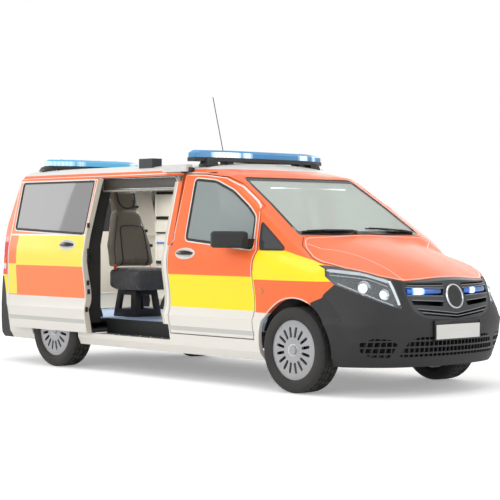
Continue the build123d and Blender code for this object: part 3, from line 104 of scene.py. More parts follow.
def softbox(name, place, target, width, height, watts):
    """A rectangular lamp at place that faces target."""
    lamp = bpy.data.objects.new(name, bpy.data.lights.new(name, "AREA"))
    scene.collection.objects.link(lamp)
    lamp.location = place
    lamp.rotation_euler = (Vector(target) - Vector(place)).to_track_quat("-Z", "Y").to_euler()
    lamp.data.shape = "RECTANGLE"
    lamp.data.size, lamp.data.size_y, lamp.data.energy = width, height, watts


azimuth, elevation, roll = math.radians(47.344), math.radians(0.78), math.radians(0.122)
back = Vector((math.sin(azimuth) * math.cos(elevation), -math.cos(azimuth) * math.cos(elevation),
               math.sin(elevation)))
right = Vector((math.cos(azimuth), math.sin(azimuth), 0))
upward = back.cross(right)
side_axis = right * math.cos(roll) + upward * math.sin(roll)
up_axis = upward * math.cos(roll) - right * math.sin(roll)
camera = bpy.data.objects.new("studio_camera", bpy.data.cameras.new("studio_camera"))
scene.collection.objects.link(camera)
turn = Matrix((side_axis, up_axis, back)).transposed()
camera.matrix_world = Matrix.Translation(CAMERA_PLACE) @ turn.to_4x4()
camera.data.lens = LENS_MM
camera.data.sensor_width = 36
camera.data.clip_end = 200
scene.camera = camera

softbox("overhead_box", (1.0, -1.5, 7.5), (0, 0, 0.6), 9, 6, 230)
softbox("right_box", (3.0, -9.0, 3.8), (0, 0, 0.8), 9, 3.5, 300)
softbox("front_box", (9.5, 2.5, 3.4), (1.0, 0, 0.8), 6, 3.2, 95)
softbox("left_box", (-3.0, 8.5, 4.5), (0, 0, 0.8), 8, 4, 170)
softbox("rear_box", (-9.0, -3.0, 3.5), (-1, 0, 0.8), 5, 3, 140)
softbox("load_space_lamp", (-1.62, -0.05, 1.74), (-1.50, -0.15, 0.5), 1.1, 0.5, 34)
softbox("cab_lamp", (0.62, 0.0, 1.64), (0.62, 0.0, 0.5), 0.6, 0.9, 7)

world = bpy.data.worlds.new("studio_world")
scene.world = world
world.use_nodes = True
wt = world.node_tree
wt.nodes.clear()
ray = wt.nodes.new("ShaderNodeLightPath")
seen = None
for kind in ("Is Camera Ray", "Is Transmission Ray", "Is Glossy Ray"):
    if seen is None:
        seen = ray.outputs[kind]
        continue
    either = wt.nodes.new("ShaderNodeMath")
    either.operation = "MAXIMUM"
    wt.links.new(seen, either.inputs[0])
    wt.links.new(ray.outputs[kind], either.inputs[1])
    seen = either.outputs[0]
glow = wt.nodes.new("ShaderNodeMix")
glow.data_type = "FLOAT"
wt.links.new(seen, glow.inputs[0])
glow.inputs[2].default_value, glow.inputs[3].default_value = AMBIENT, BACKDROP
sky = wt.nodes.new("ShaderNodeBackground")
sky.inputs["Color"].default_value = (1, 1, 1, 1)
wt.links.new(glow.outputs[0], sky.inputs["Strength"])
out = wt.nodes.new("ShaderNodeOutputWorld")
wt.links.new(sky.outputs[0], out.inputs[0])

# ---- Finishes


def tone(red, green, blue):
    """A linear colour from its screen values."""
    return tuple(((c / 255) / 12.92 if c / 255 <= 0.04045 else ((c / 255 + 0.055) / 1.055) ** 2.4)
                 for c in (red, green, blue)) + (1,)


def scaled(colour, share):
    """A colour made darker or lighter by a factor."""
    return tuple(c * share for c in colour[:3]) + (1,)


class Finish:
    """A principled material whose colour and surface come from patterns on Object coordinates."""

    def __init__(self, name, rough=0.5, metal=0.0, coat=0.0, coat_rough=0.05, ior=1.5):
        self.material = bpy.data.materials.new(name)
        self.material.use_nodes = True
        self.tree = self.material.node_tree
        self.tree.nodes.clear()
        self.shader = self.add("ShaderNodeBsdfPrincipled")
        self.output = self.add("ShaderNodeOutputMaterial")
        self.join(self.shader.outputs[0], self.output.inputs["Surface"])
        self.shader.inputs["Metallic"].default_value = metal
        self.shader.inputs["Coat Weight"].default_value = coat
        self.shader.inputs["Coat Roughness"].default_value = coat_rough
        self.shader.inputs["IOR"].default_value = ior
        self.shader.inputs["Roughness"].default_value = rough
        self.place = self.add("ShaderNodeTexCoord").outputs["Object"]
        self.axes = self.add("ShaderNodeSeparateXYZ")
        self.join(self.place, self.axes.inputs[0])

    def add(self, kind):
        return self.tree.nodes.new(kind)

    def join(self, a, b):
        self.tree.links.new(a, b)

    def math(self, operation, a, b=None):
        node = self.add("ShaderNodeMath")
        node.operation = operation
        for socket, value in zip(node.inputs, (a, b)):
            if value is None:
                continue
            if isinstance(value, (int, float)):
                socket.default_value = value
            else:
                self.join(value, socket)
        return node.outputs[0]

    def noise(self, scale, detail=2.0, stretch=None):
        node = self.add("ShaderNodeTexNoise")
        node.inputs["Scale"].default_value = scale
        node.inputs["Detail"].default_value = detail
        if stretch:
            fit = self.add("ShaderNodeMapping")
            fit.inputs["Scale"].default_value = stretch
            self.join(self.place, fit.inputs[0])
            self.join(fit.outputs[0], node.inputs["Vector"])
        else:
            self.join(self.place, node.inputs["Vector"])
        return node.outputs["Fac"]

    def blend(self, amount, under, over):
        node = self.add("ShaderNodeMix")
        node.data_type = "RGBA"
        if isinstance(amount, (int, float)):
            node.inputs[0].default_value = amount
        else:
            self.join(amount, node.inputs[0])
        for socket, value in ((node.inputs[6], under), (node.inputs[7], over)):
            if isinstance(value, tuple):
                socket.default_value = value
            else:
                self.join(value, socket)
        return node.outputs[2]

    def region(self, *tests):
        """1 where every test holds. A test is (x share, y share, z share, level, above)."""
        total = None
        for sx, sy, sz, level, above in tests:
            value = None
            for share, axis in ((sx, 0), (sy, 1), (sz, 2)):
                if share:
                    term = self.axes.outputs[axis]
                    if share != 1:
                        term = self.math("MULTIPLY", term, share)
                    value = term if value is None else self.math("ADD", value, term)
            hit = self.math("GREATER_THAN" if above else "LESS_THAN", value, level)
            total = hit if total is None else self.math("MULTIPLY", total, hit)
        return total

    def inward(self):
        """1 on faces that look towards the middle of the cabin, seen along the piece's own normals."""
        way = self.add("ShaderNodeVectorMath")
        way.operation = "SUBTRACT"
        self.join(self.place, way.inputs[0])
        way.inputs[1].default_value = (-1.0, 0.0, 1.0)
        dot = self.add("ShaderNodeVectorMath")
        dot.operation = "DOT_PRODUCT"
        self.join(way.outputs[0], dot.inputs[0])
        self.join(self.add("ShaderNodeNewGeometry").outputs["True Normal"], dot.inputs[1])
        return self.math("LESS_THAN", dot.outputs["Value"], 0.15)

    def colour(self, value):
        if isinstance(value, tuple):
            self.shader.inputs["Base Color"].default_value = value
        else:
            self.join(value, self.shader.inputs["Base Color"])
        return self

    def spread(self, value, low, high):
        node = self.add("ShaderNodeMapRange")
        self.join(value, node.inputs[0])
        node.inputs["To Min"].default_value, node.inputs["To Max"].default_value = low, high
        return node.outputs[0]

    def roughness(self, value, low, high):
        self.join(self.spread(value, low, high), self.shader.inputs["Roughness"])
        return self

    def bump(self, value, depth, strength=1.0):
        node = self.add("ShaderNodeBump")
        node.inputs["Strength"].default_value = strength
        node.inputs["Distance"].default_value = depth
        self.join(value, node.inputs["Height"])
        self.join(node.outputs[0], self.shader.inputs["Normal"])
        return self

    def wear(self, base, dark, scale, amount):
        """base with a soft cloudy variation towards dark."""
        return self.blend(self.spread(self.noise(scale, 4), 0, amount), base, dark)


WHITE = tone(232, 229, 222)


def paler(colour, green=0.0, blue=0.0):
    """A colour with more green and blue in it."""
    return (colour[0], colour[1] + green, colour[2] + blue, 1)


RED = paler(tone(255, 96, 44), 0.045, 0.008)
YELLOW = tone(252, 232, 24)
SEAM = tone(240, 238, 232)
LINING = tone(214, 207, 192)
DARK_LINING = tone(58, 58, 60)


def body_paint(name, layers, base=WHITE, lining=LINING, rise=None):
    """Gloss paint with foil bands laid over it: layers of (colour, tests), the last on top. Faces that look towards
    the cabin are lined instead; with rise given, faces whose normal rises less than it get a dark painted shade
    instead."""
    finish = Finish(name, rough=0.38, coat=0.22 if rise is None else 0.05, coat_rough=0.12)
    finish.shader.inputs["Specular IOR Level"].default_value = 0.35 if rise is None else 0.16
    colour = base
    for foil, tests in layers:
        colour = finish.blend(finish.region(*tests), colour, foil)
    dusty = finish.blend(finish.spread(finish.noise(1.6, 5), 0.0, 0.06), colour, tone(120, 112, 100))
    if rise is None:
        finish.colour(finish.blend(finish.inward(), dusty, lining))
    else:
        # Faces whose normal rises less than rise are painted dark, tone(66, 60, 58): painted shade on the bonnet's
        # edges and underside.
        up = finish.add("ShaderNodeSeparateXYZ")
        finish.join(finish.add("ShaderNodeNewGeometry").outputs["True Normal"], up.inputs[0])
        finish.colour(finish.blend(finish.math("LESS_THAN", up.outputs[2], rise), dusty, tone(66, 60, 58)))
    finish.roughness(finish.noise(9.0, 3), 0.32, 0.46)
    finish.bump(finish.noise(160.0, 1), 0.00006, 0.5)
    return finish.material


# Tests for Finish.region: above or below a level, ahead of or behind a place
def above(level, slope=0.0):
    return (slope, 0, 1, level, True)


def below(level, slope=0.0):
    return (slope, 0, 1, level, False)


def ahead(x):
    return (1, 0, 0, x, True)


def behind(x):
    return (1, 0, 0, x, False)


LEFT_HALF, RIGHT_HALF = (0, 1, 0, 0, True), (0, 1, 0, 0, False)


def plastic(name, colour, rough=0.55, grain=700.0, depth=0.0002):
    finish = Finish(name, rough=rough)
    finish.colour(finish.wear(colour, scaled(colour, 0.6), 3.0, 0.5))
    finish.roughness(finish.noise(40.0, 3), rough - 0.08, rough + 0.1)
    finish.bump(finish.noise(grain, 2), depth, 0.6)
    return finish.material


def metal(name, colour, rough=0.35, scale=60.0):
    finish = Finish(name, rough=rough, metal=1.0)
    finish.colour(finish.wear(colour, scaled(colour, 0.55), 5.0, 0.5))
    finish.roughness(finish.noise(scale, 4), rough - 0.1, rough + 0.15)
    finish.bump(finish.noise(scale * 6, 2), 0.0001, 0.4)
    return finish.material


def glass(name, tint, clear=0.75, rough=0.03):
    """Thin pane: mostly see-through, with a gloss that grows at a low angle. Its opaque share takes the tint colour,
    which for the pale panes is partly a painted reflection.
    """
    finish = Finish(name, rough=rough)
    finish.colour(finish.wear(tint, scaled(tint, 0.8), 2.0, 0.3))
    see = finish.add("ShaderNodeBsdfTransparent")
    see.inputs[0].default_value = tuple(0.35 + 0.65 * c for c in tint[:3]) + (1,)
    mix = finish.add("ShaderNodeMixShader")
    mix.inputs[0].default_value = 1 - clear
    finish.join(see.outputs[0], mix.inputs[1])
    finish.join(finish.shader.outputs[0], mix.inputs[2])
    finish.join(mix.outputs[0], finish.output.inputs["Surface"])
    return finish.material


def lit(name, colour, strength, rough=0.15):
    finish = Finish(name, rough=rough, coat=0.5)
    finish.colour(finish.wear(colour, scaled(colour, 0.4), 18.0, 0.6))
    finish.shader.inputs["Emission Color"].default_value = colour
    finish.shader.inputs["Emission Strength"].default_value = strength
    return finish.material


def rubber(name, colour=tone(28, 28, 29), rough=0.75):
    finish = Finish(name, rough=rough)
    finish.colour(finish.wear(colour, tone(70, 66, 60), 6.0, 0.35))
    finish.roughness(finish.noise(90.0, 4), rough - 0.12, rough + 0.12)
    finish.bump(finish.noise(420.0, 3), 0.0004, 0.6)
    return finish.material


def cloth(name, colour, rough=0.9):
    """Woven cover: two crossed threads and a little pilling."""
    finish = Finish(name, rough=rough)
    warp = finish.add("ShaderNodeTexWave"); warp.bands_direction = "X"
    weft = finish.add("ShaderNodeTexWave"); weft.bands_direction = "Z"
    for wave in (warp, weft):
        wave.inputs["Scale"].default_value = 260
        wave.inputs["Distortion"].default_value = 1.5
        finish.join(finish.place, wave.inputs["Vector"])
    weave = finish.math("MULTIPLY", warp.outputs["Fac"], weft.outputs["Fac"])
    worn = finish.wear(colour, scaled(colour, 1.6), 7.0, 0.4)
    finish.colour(finish.blend(weave, worn, scaled(colour, 0.5)))
    finish.shader.inputs["Sheen Weight"].default_value = 0.25
    finish.bump(weave, 0.0005, 0.6)
    return finish.material


floor_finish = Finish("studio_floor", rough=0.9)
floor_finish.colour(floor_finish.blend(floor_finish.spread(floor_finish.noise(0.5, 2), 0, 0.03),
                                       (0.92, 0.92, 0.92, 1), (0.88, 0.88, 0.88, 1)))
away = floor_finish.add("ShaderNodeVectorMath")
away.operation = "LENGTH"
floor_finish.join(floor_finish.place, away.inputs[0])
reach = floor_finish.add("ShaderNodeMapRange")
floor_finish.join(away.outputs["Value"], reach.inputs[0])
reach.inputs["From Min"].default_value, reach.inputs["From Max"].default_value = FLOOR_NEAR, FLOOR_FAR
reach.inputs["To Min"].default_value, reach.inputs["To Max"].default_value = 0.30, 0.85
path = floor_finish.add("ShaderNodeLightPath")
noticed = floor_finish.math("MAXIMUM", path.outputs["Is Camera Ray"], path.outputs["Is Glossy Ray"])
noticed = floor_finish.math("MAXIMUM", noticed, path.outputs["Is Transmission Ray"])
floor_finish.join(floor_finish.math("MULTIPLY", reach.outputs[0], noticed),
                  floor_finish.shader.inputs["Emission Strength"])
floor_finish.shader.inputs["Emission Color"].default_value = (1, 1, 1, 1)
bpy.ops.mesh.primitive_plane_add(size=120, location=(0, 0, 0))
ground = bpy.context.object
ground.name = "studio_floor"
ground.data.materials.append(floor_finish.material)
ground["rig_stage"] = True

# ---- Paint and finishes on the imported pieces

SILL_LINE = (tone(198, 197, 192), [above(0.430), below(0.468)])
door_paint = body_paint("door_foil", lining=DARK_LINING, layers=[
    (RED, [above(0.905)]), (YELLOW, [above(0.630), below(0.905)]), SILL_LINE])
PALE_RED, PALE_YELLOW = paler(RED, 0.075, 0.040), paler(YELLOW, 0, 0.085)
door_tail = behind(-2.005)
slide_paint = body_paint("slide_door_foil", [
    (PALE_RED, [above(1.240)]), (SEAM, [above(1.224), below(1.240)]), (PALE_YELLOW, [above(0.945), below(1.224)]),
    (PALE_RED, [above(0.660), below(0.945)]), (PALE_RED, [above(0.956), below(1.224), door_tail]),
    (PALE_YELLOW, [above(0.668), below(0.956), door_tail]), SILL_LINE])
quarter = [(RED, [above(0.958), below(1.768)]), (YELLOW, [above(0.668), below(0.958)]), SILL_LINE]
mid_left = [ahead(-1.078), behind(0.165), LEFT_HALF]
middle = [(YELLOW, [above(0.945), below(1.224)] + mid_left), (RED, [above(0.660), below(0.945)] + mid_left)]
side_paint = body_paint("side_foil", quarter + middle + [
    (WHITE, [ahead(-0.10), behind(0.30), RIGHT_HALF, below(1.15)])])
tail_paint = body_paint("tailgate_foil", quarter)
roof_paint = body_paint("roof_foil", [
    (RED, [below(1.800)]), (RED, [ahead(0.45), above(1.0), below(1.738)]), (RED, [ahead(0.712), above(1.738)])])
fender_paint = body_paint("fender_foil", [
    (YELLOW, [above(0.885)]), (RED, [above(0.620), below(0.885)]), (RED, [above(1.566, 0.29)])])
bonnet_paint = body_paint("bonnet_foil", [(paler(RED, 0.05, 0.05), [above(0.1)])], rise=0.16)
pillar_paint = body_paint("pillar_paint", [
    (RED, [above(1.15)]), (SEAM, [behind(0.078)]), (LINING, [behind(0.066)])])

dark_plastic = plastic("bumper_plastic", tone(27, 27, 28), 0.58)
black_plastic = plastic("black_plastic", tone(24, 24, 26), 0.42)
mirror_plastic = plastic("mirror_plastic", tone(14, 14, 15), 0.6)
grille_plastic = plastic("grille_plastic", tone(40, 41, 44), 0.38)
pale_trim = plastic("interior_trim", tone(196, 190, 176), 0.6)
floor_trim = Finish("load_floor", rough=0.6)
floor_trim.colour(floor_trim.blend(floor_trim.region(above(0.462)), tone(34, 35, 37),
                                   floor_trim.wear(tone(142, 160, 184), tone(96, 110, 130), 5.0, 0.4)))
floor_trim.roughness(floor_trim.noise(30.0, 3), 0.5, 0.7)
floor_trim.bump(floor_trim.noise(240.0, 2), 0.0003, 0.6)
floor_trim = floor_trim.material
cabinet_finish = plastic("cabinet_laminate", tone(206, 201, 188), 0.45)
pedestal_finish = plastic("pedestal_plastic", tone(26, 28, 34), 0.45)
steel = metal("chassis_steel", tone(70, 71, 74), 0.5)
bright = metal("bright_metal", tone(205, 207, 210), 0.22)
cover_silver = Finish("cover_silver", rough=0.32, metal=0.35, coat=0.5)
cover_silver.colour(cover_silver.wear(tone(166, 167, 170), tone(120, 120, 122), 6.0, 0.4))
cover_silver.bump(cover_silver.noise(200.0, 2), 0.00008, 0.4)
cover_silver = cover_silver.material
tyre_rubber = rubber("tyre_rubber")
seal_rubber = rubber("seal_rubber", tone(22, 22, 23), 0.6)
# The cab windows and the windscreen get pale colours: partly their tint, partly a painted reflection of the bright
# studio.
window_tint_and_reflection = glass("cab_window", tone(180, 191, 190), 0.45)
dark_tint = glass("load_window", tone(66, 67, 70), 0.10)
screen_tint_and_reflection = glass("windscreen_glass", tone(234, 241, 235), 0.52)
slide_tint = glass("slide_door_window", tone(146, 145, 145), 0.06)
lamp_cover = glass("lamp_cover", tone(235, 240, 242), 0.90, 0.02)
red_lamp = lit("tail_lamp_red", tone(205, 14, 12), 0.45)
blue_lens = Finish("beacon_blue", rough=0.16, coat=0.4)
sideways = blue_lens.axes.outputs[1]
lit_share = None
for middle_y, reach_y, amount in ((-0.47, 0.16, 1.0), (-0.25, 0.07, 0.9), (0.44, 0.08, 0.9), (0.62, 0.05, 0.8)):
    away_y = blue_lens.math("ABSOLUTE", blue_lens.math("SUBTRACT", sideways, middle_y))
    spot = blue_lens.math("MULTIPLY", blue_lens.math("MINIMUM", blue_lens.math("MAXIMUM", blue_lens.math(
        "MULTIPLY", blue_lens.math("SUBTRACT", reach_y, away_y), 22.0), 0.0), 1.0), amount)
    lit_share = spot if lit_share is None else blue_lens.math("MAXIMUM", lit_share, spot)
cells = blue_lens.add("ShaderNodeTexWave")
cells.bands_direction = "Y"
cells.inputs["Scale"].default_value = 9
blue_lens.join(blue_lens.place, cells.inputs["Vector"])
lit_share = blue_lens.math("MULTIPLY", lit_share, blue_lens.spread(cells.outputs["Fac"], 0.7, 1.0))
low_part = blue_lens.region(below(1.951))
lit_share = blue_lens.math("MULTIPLY", lit_share, low_part)
clear_blue = blue_lens.wear(tone(66, 150, 200), tone(26, 96, 172), 6.0, 0.6)
rear_bar = blue_lens.region(behind(0))
clear_blue = blue_lens.blend(rear_bar, clear_blue, tone(84, 176, 220))
lit_share = blue_lens.math("MULTIPLY", lit_share, blue_lens.spread(rear_bar, 1.0, 0.55))
shown = blue_lens.blend(lit_share, clear_blue, tone(225, 240, 255))
blue_lens.colour(shown)
blue_lens.join(shown, blue_lens.shader.inputs["Emission Color"])
blue_lens.join(blue_lens.spread(lit_share, 0.10, 0.95), blue_lens.shader.inputs["Emission Strength"])
blue_lens.bump(cells.outputs["Fac"], 0.0008, 0.5)
blue_lens = blue_lens.material
blue_trim = plastic("blue_trim", tone(60, 110, 190), 0.4)
slot_shade = plastic("header_slot", tone(74, 70, 64), 0.5)
seam_shade = plastic("panel_joint", tone(52, 44, 42), 0.6)
aerial_finish = rubber("aerial_sleeve", tone(20, 20, 22), 0.5)
white_housing = Finish("roof_lamp_housing", rough=0.4)
flasher = white_housing.region(behind(-0.20))
pale_housing = white_housing.wear(tone(222, 222, 220), tone(170, 170, 168), 8.0, 0.4)
white_housing.colour(white_housing.blend(flasher, pale_housing, tone(30, 32, 38)))
white_housing.roughness(white_housing.noise(60.0, 2), 0.35, 0.5)
white_housing.bump(white_housing.noise(500.0, 1), 0.0002, 0.5)
white_housing = white_housing.material
plate_finish = plastic("plate_white", tone(236, 235, 230), 0.3)
seat_cover = cloth("seat_cloth", tone(70, 70, 72))
attendant_cover = cloth("attendant_cushion_cloth", tone(66, 66, 70))
attendant_back_cover = cloth("attendant_back_cloth", tone(112, 105, 93))
seat_piping = rubber("seat_piping", tone(22, 22, 24), 0.6)
belt_webbing = cloth("belt_webbing", tone(30, 30, 33))
buckle_red = plastic("buckle_red", tone(200, 34, 30), 0.4)
seam_white = plastic("foil_edge_white", tone(238, 236, 230), 0.35)
black_gloss = plastic("black_gloss", tone(14, 14, 15), 0.16, 300, 0.00005)
# Light satin metal for the grille bar edges, laid where highlights show: a painted highlight.
satin = metal("satin_highlight_edge", tone(150, 152, 156), 0.34)
lamp_dark = plastic("lamp_bowl", tone(34, 35, 38), 0.22)
lamp_clear_cells = lit("lamp_cells", tone(206, 212, 216), 0.30, 0.12)
lamp_white = lit("lamp_light_guide", tone(236, 240, 243), 0.35)
lamp_glow = lit("lamp_lens_glow", tone(240, 246, 250), 1.6, 0.05)
amber_lamp = lit("indicator_amber", tone(228, 120, 30), 0.08)
mirror_face = metal("mirror_face", tone(196, 202, 208), 0.12)


def grille_blue(name, centre, half):
    """Deep blue lens whose middle glows white where its lamp is lit."""
    finish = Finish(name, rough=0.12, coat=0.6)
    away = finish.math("ABSOLUTE", finish.math("SUBTRACT", finish.axes.outputs[1], centre))
    near = finish.math("MAXIMUM", finish.math("SUBTRACT", 1.0, finish.math("DIVIDE", away, half)), 0.0)
    wide = finish.math("MAXIMUM", finish.math("SUBTRACT", 1.0, finish.math("DIVIDE", away, half * 3.6)), 0.0)
    tint = finish.blend(near, tone(10, 78, 160), tone(190, 225, 255))
    finish.colour(tint)
    finish.join(tint, finish.shader.inputs["Emission Color"])
    power = finish.math("ADD", finish.math("MULTIPLY", finish.math("POWER", near, 0.6), 5.0),
                        finish.math("MULTIPLY", wide, 1.2))
    finish.join(power, finish.shader.inputs["Emission Strength"])
    finish.roughness(finish.noise(60.0, 2), 0.08, 0.2)
    finish.bump(finish.noise(300.0, 1), 0.0002, 0.4)
    return finish.material


blue_grille_left = grille_blue("grille_lamp_blue_left", 0.255, 0.045)
blue_grille_right = grille_blue("grille_lamp_blue_right", -0.367, 0.060)

finish_of = (
    (side_paint, "side_left side_right"),
    (roof_paint, "roof"),
    (fender_paint, "fenders"),
    (bonnet_paint, "bonnet"),
    (door_paint, "door_left door_right"),
    (tail_paint, "tailgate"),
    (slide_paint, "slide_door"),
    (pillar_paint, "pillar_right"),
    (dark_plastic, "front_bumper rear_bumper"),
    (grille_plastic, "upper_grille"),
    (black_plastic, "lower_grilles dashboard steering_wheel wheelhouses slide_rail seat_bases fuel_tank light_bars"),
    (mirror_plastic, "mirror_left mirror_right"),
    (lamp_cover, "headlamps"),
    (red_lamp, "tail_lamps"),
    (screen_tint_and_reflection, "windscreen"),
    (dark_tint, "side_windows tailgate_glass"),
    (slide_tint, "slide_door_glass"),
    (window_tint_and_reflection, "door_glass_left door_glass_right"),
    (floor_trim, "floor_pan"),
    (steel, "bulkhead front_suspension rear_axle knuckle_left knuckle_right exhaust engine"),
    (cabinet_finish, "cabinet"),
    (pedestal_finish, "seat_pedestal"),
    (blue_lens, "light_bar_lenses"),
    (white_housing, "roof_lamps"),
    (aerial_finish, "antenna"),
    (plate_finish, "number_plates"),
    (pale_trim, "wall_lining"),
    (seat_cover, "front_seats attendant_seat"))
finishes = {node: finish for finish, names in finish_of for node in names.split()}
for corner in ("front_left", "front_right", "rear_left", "rear_right"):
    finishes["tyre_" + corner] = tyre_rubber
    finishes["wheel_" + corner] = cover_silver

smoother = bpy.data.node_groups.new("smooth_facets", "GeometryNodeTree")
smoother.interface.new_socket("Geometry", in_out="INPUT", socket_type="NodeSocketGeometry")
smoother.interface.new_socket("Geometry", in_out="OUTPUT", socket_type="NodeSocketGeometry")
stages = [smoother.nodes.new(kind) for kind in (
    "NodeGroupInput", "GeometryNodeRemoveAttribute", "GeometryNodeMergeByDistance", "GeometryNodeSetShadeSmooth",
    "GeometryNodeSetShadeSmooth", "NodeGroupOutput")]
stages[1].inputs["Name"].default_value = "custom_normal"
stages[2].inputs["Distance"].default_value = MERGE_GAP
stages[3].domain, stages[4].domain = "FACE", "EDGE"
for before, after in zip(stages, stages[1:]):
    smoother.links.new(before.outputs[0], after.inputs[0])
bend = smoother.nodes.new("GeometryNodeInputMeshEdgeAngle")
gentle = smoother.nodes.new("FunctionNodeCompare")
gentle.data_type, gentle.operation = "FLOAT", "LESS_THAN"
gentle.inputs[1].default_value = SMOOTH_BELOW
smoother.links.new(bend.outputs["Unsigned Angle"], gentle.inputs[0])
smoother.links.new(gentle.outputs[0], stages[4].inputs["Shade Smooth"])
for node, finish in finishes.items():
    softer = nodes[node].modifiers.new("smooth_facets", "NODES")
    softer.node_group = smoother
    shape = nodes[node]
    shape.data.materials.clear()
    shape.data.materials.append(finish)

# ---- Modelling helpers


def mode(name):
    bpy.ops.object.mode_set(mode=name)


def take_all():
    """Selects the whole mesh in edit mode."""
    bpy.ops.mesh.select_all(action="SELECT")


def all_off():
    if bpy.context.object and bpy.context.object.mode != "OBJECT":
        mode("OBJECT")
    bpy.ops.object.select_all(action="DESELECT")


def only(shape):
    """Leaves edit mode and selects this shape alone."""
    all_off()
    shape.select_set(True)
    bpy.context.view_layer.objects.active = shape


def pick(shape, test):
    """In edit mode, selects the faces of shape that pass the test, by their centre and normal."""
    mode("OBJECT")
    for face in shape.data.polygons:
        face.select = bool(test(face.center, face.normal))
    chosen = {v for face in shape.data.polygons if face.select for v in face.vertices}
    for vertex in shape.data.vertices:
        vertex.select = vertex.index in chosen
    for edge in shape.data.edges:
        edge.select = all(v in chosen for v in edge.vertices)
    mode("EDIT")
    bpy.ops.mesh.select_mode(type="FACE")


def block(name, low, high):
    """A box between two corners, left in edit mode with its place in the mesh."""
    all_off()
    bpy.ops.mesh.primitive_cube_add(size=1, location=[(a + b) / 2 for a, b in zip(low, high)])
    shape = bpy.context.object
    shape.name = name
    shape.scale = [b - a for a, b in zip(low, high)]
    bpy.ops.object.transform_apply(location=True, rotation=True, scale=True)
    mode("EDIT")
    return shape


def round_off(shape, width, segments=3, angle=30):
    """Rounds all edges that are sharper than the angle."""
    only(shape)
    bevel = shape.modifiers.new("soft_edges", "BEVEL")
    bevel.width, bevel.segments, bevel.limit_method = width, segments, "ANGLE"
    bevel.angle_limit = math.radians(angle)
    bpy.ops.object.modifier_apply(modifier=bevel.name)


def done(shape, finish, body="body", smooth=30):
    """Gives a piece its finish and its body."""
    only(shape)
    bpy.ops.object.transform_apply(location=True, rotation=True, scale=True)
    bpy.ops.object.shade_smooth_by_angle(angle=math.radians(smooth))
    shape.data.materials.clear()
    shape.data.materials.append(finish)
    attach(shape, body)
    return shape


def plate(name, low, high, soft, finish, body="body", face=None, rim=0.0, push=None, seat=None):
    """A block with rounded edges. The face that looks one way can be inset by rim and pushed, and seat places it."""
    shape = block(name, low, high)
    if face:
        pick(shape, lambda c, n: n.dot(Vector(face)) > SQUARE_ON)
        bpy.ops.mesh.inset(thickness=rim)
    if push:
        bpy.ops.mesh.extrude_region_move(TRANSFORM_OT_translate={"value": push})
    round_off(shape, *soft)
    if seat:
        shape.data.transform(seat)
    return done(shape, finish, body)


def copy_of(shape, name, matrix):
    twin = shape.copy()
    twin.data = shape.data.copy()
    twin.name = name
    scene.collection.objects.link(twin)
    twin.data.transform(matrix)
    if matrix.determinant() < 0:
        twin.data.flip_normals()
    return twin


def drawn(name, points):
    """One vertex drawn out from point to point."""
    all_off()
    bpy.ops.mesh.primitive_plane_add(size=0.01, location=points[0])
    shape = bpy.context.object
    shape.name = name
    bpy.ops.object.transform_apply(location=True, rotation=True, scale=True)
    mode("EDIT")
    bpy.ops.mesh.select_mode(type="VERT")
    take_all()
    bpy.ops.mesh.merge(type="CENTER")
    for a, b in zip(points, points[1:]):
        bpy.ops.mesh.extrude_region_move(TRANSFORM_OT_translate={"value": tuple(Vector(b) - Vector(a))})
    return shape


def bead(name, points, radius, finish, body="body", closed=False, sides=4):
    """A thin round trim along points."""
    drawn(name, points)
    mode("OBJECT")
    bpy.ops.object.convert(target="CURVE")
    shape = bpy.context.object
    if closed:
        shape.data.splines[0].use_cyclic_u = True
    shape.data.bevel_depth = radius
    shape.data.bevel_resolution = sides // 4
    shape.data.use_fill_caps = not closed
    bpy.ops.object.convert(target="MESH")
    return done(bpy.context.object, finish, body, 50)


# ---- Tyres and wheels


def spun(name, profile, steps, axis=(1, 0, 0)):
    """An outline of one drawn-out vertex, spun once round an axis through the origin and closed."""
    shape = drawn(name, profile)
    take_all()
    bpy.ops.mesh.spin(steps=steps, angle=math.tau, center=(0, 0, 0), axis=axis)
    take_all()
    bpy.ops.mesh.remove_doubles(threshold=0.00002)
    bpy.ops.mesh.normals_make_consistent(inside=False)
    mode("OBJECT")
    return shape


def knob(name, profile, steps, seat, finish, body="body", smooth=30):
    """A piece spun round +X and set in its place."""
    shape = spun(name, profile, steps)
    shape.data.transform(seat)
    return done(shape, finish, body, smooth)


def seated(place, way, up="Z"):
    """A turn of +X to a direction, and a shift."""
    return Matrix.Translation(place) @ way.to_track_quat("X", up).to_matrix().to_4x4()


tyre_steps = 108
half_profile = [(0.2325, 0.076), (0.236, 0.092), (0.246, 0.103), (0.268, 0.110), (0.288, 0.1125), (0.303, 0.111),
                (0.307, 0.1115), (0.318, 0.107), (0.330, 0.097), (0.3372, 0.086), (0.3384, 0.082), (0.3386, 0.062),
                (0.3306, 0.060), (0.3306, 0.053), (0.3392, 0.051), (0.3397, 0.026), (0.3317, 0.024),
                (0.3317, 0.016), (0.3399, 0.014)]
profile = half_profile + [(r, -y) for r, y in reversed(half_profile)]
tread = spun("tread_pattern", [(r, y, 0) for r, y in profile + profile[:1]], tyre_steps, (0, 1, 0))
only(tread)
pick(tread, lambda c, n: math.hypot(c.x, c.z) > 0.3375 and abs(c.y) < 0.084
     and (int((math.atan2(c.z, c.x) + math.pi) / math.tau * tyre_steps + 0.5) + (c.y > 0)) % 3 == 0)
bpy.ops.mesh.inset(use_individual=True, thickness=0.0028, depth=-0.0065)
mode("OBJECT")
hub_places = {"front_left": (FRONT_AXLE, HALF_TRACK, 1), "front_right": (FRONT_AXLE, -HALF_TRACK, -1),
              "rear_left": (REAR_AXLE, HALF_TRACK, 1), "rear_right": (REAR_AXLE, -HALF_TRACK, -1)}
shade = spun("wheel_shadow", [(0.05, 0.058, 0), (0.215, 0.058, 0), (0.215, 0.052, 0), (0.05, 0.052, 0),
                              (0.05, 0.058, 0)], 48, (0, 1, 0))
nut = spun("cap_ring", [(0.036, 0.098, 0), (0.050, 0.1015, 0), (0.052, 0.0995, 0), (0.036, 0.095, 0),
                        (0.036, 0.098, 0)], 48, (0, 1, 0))
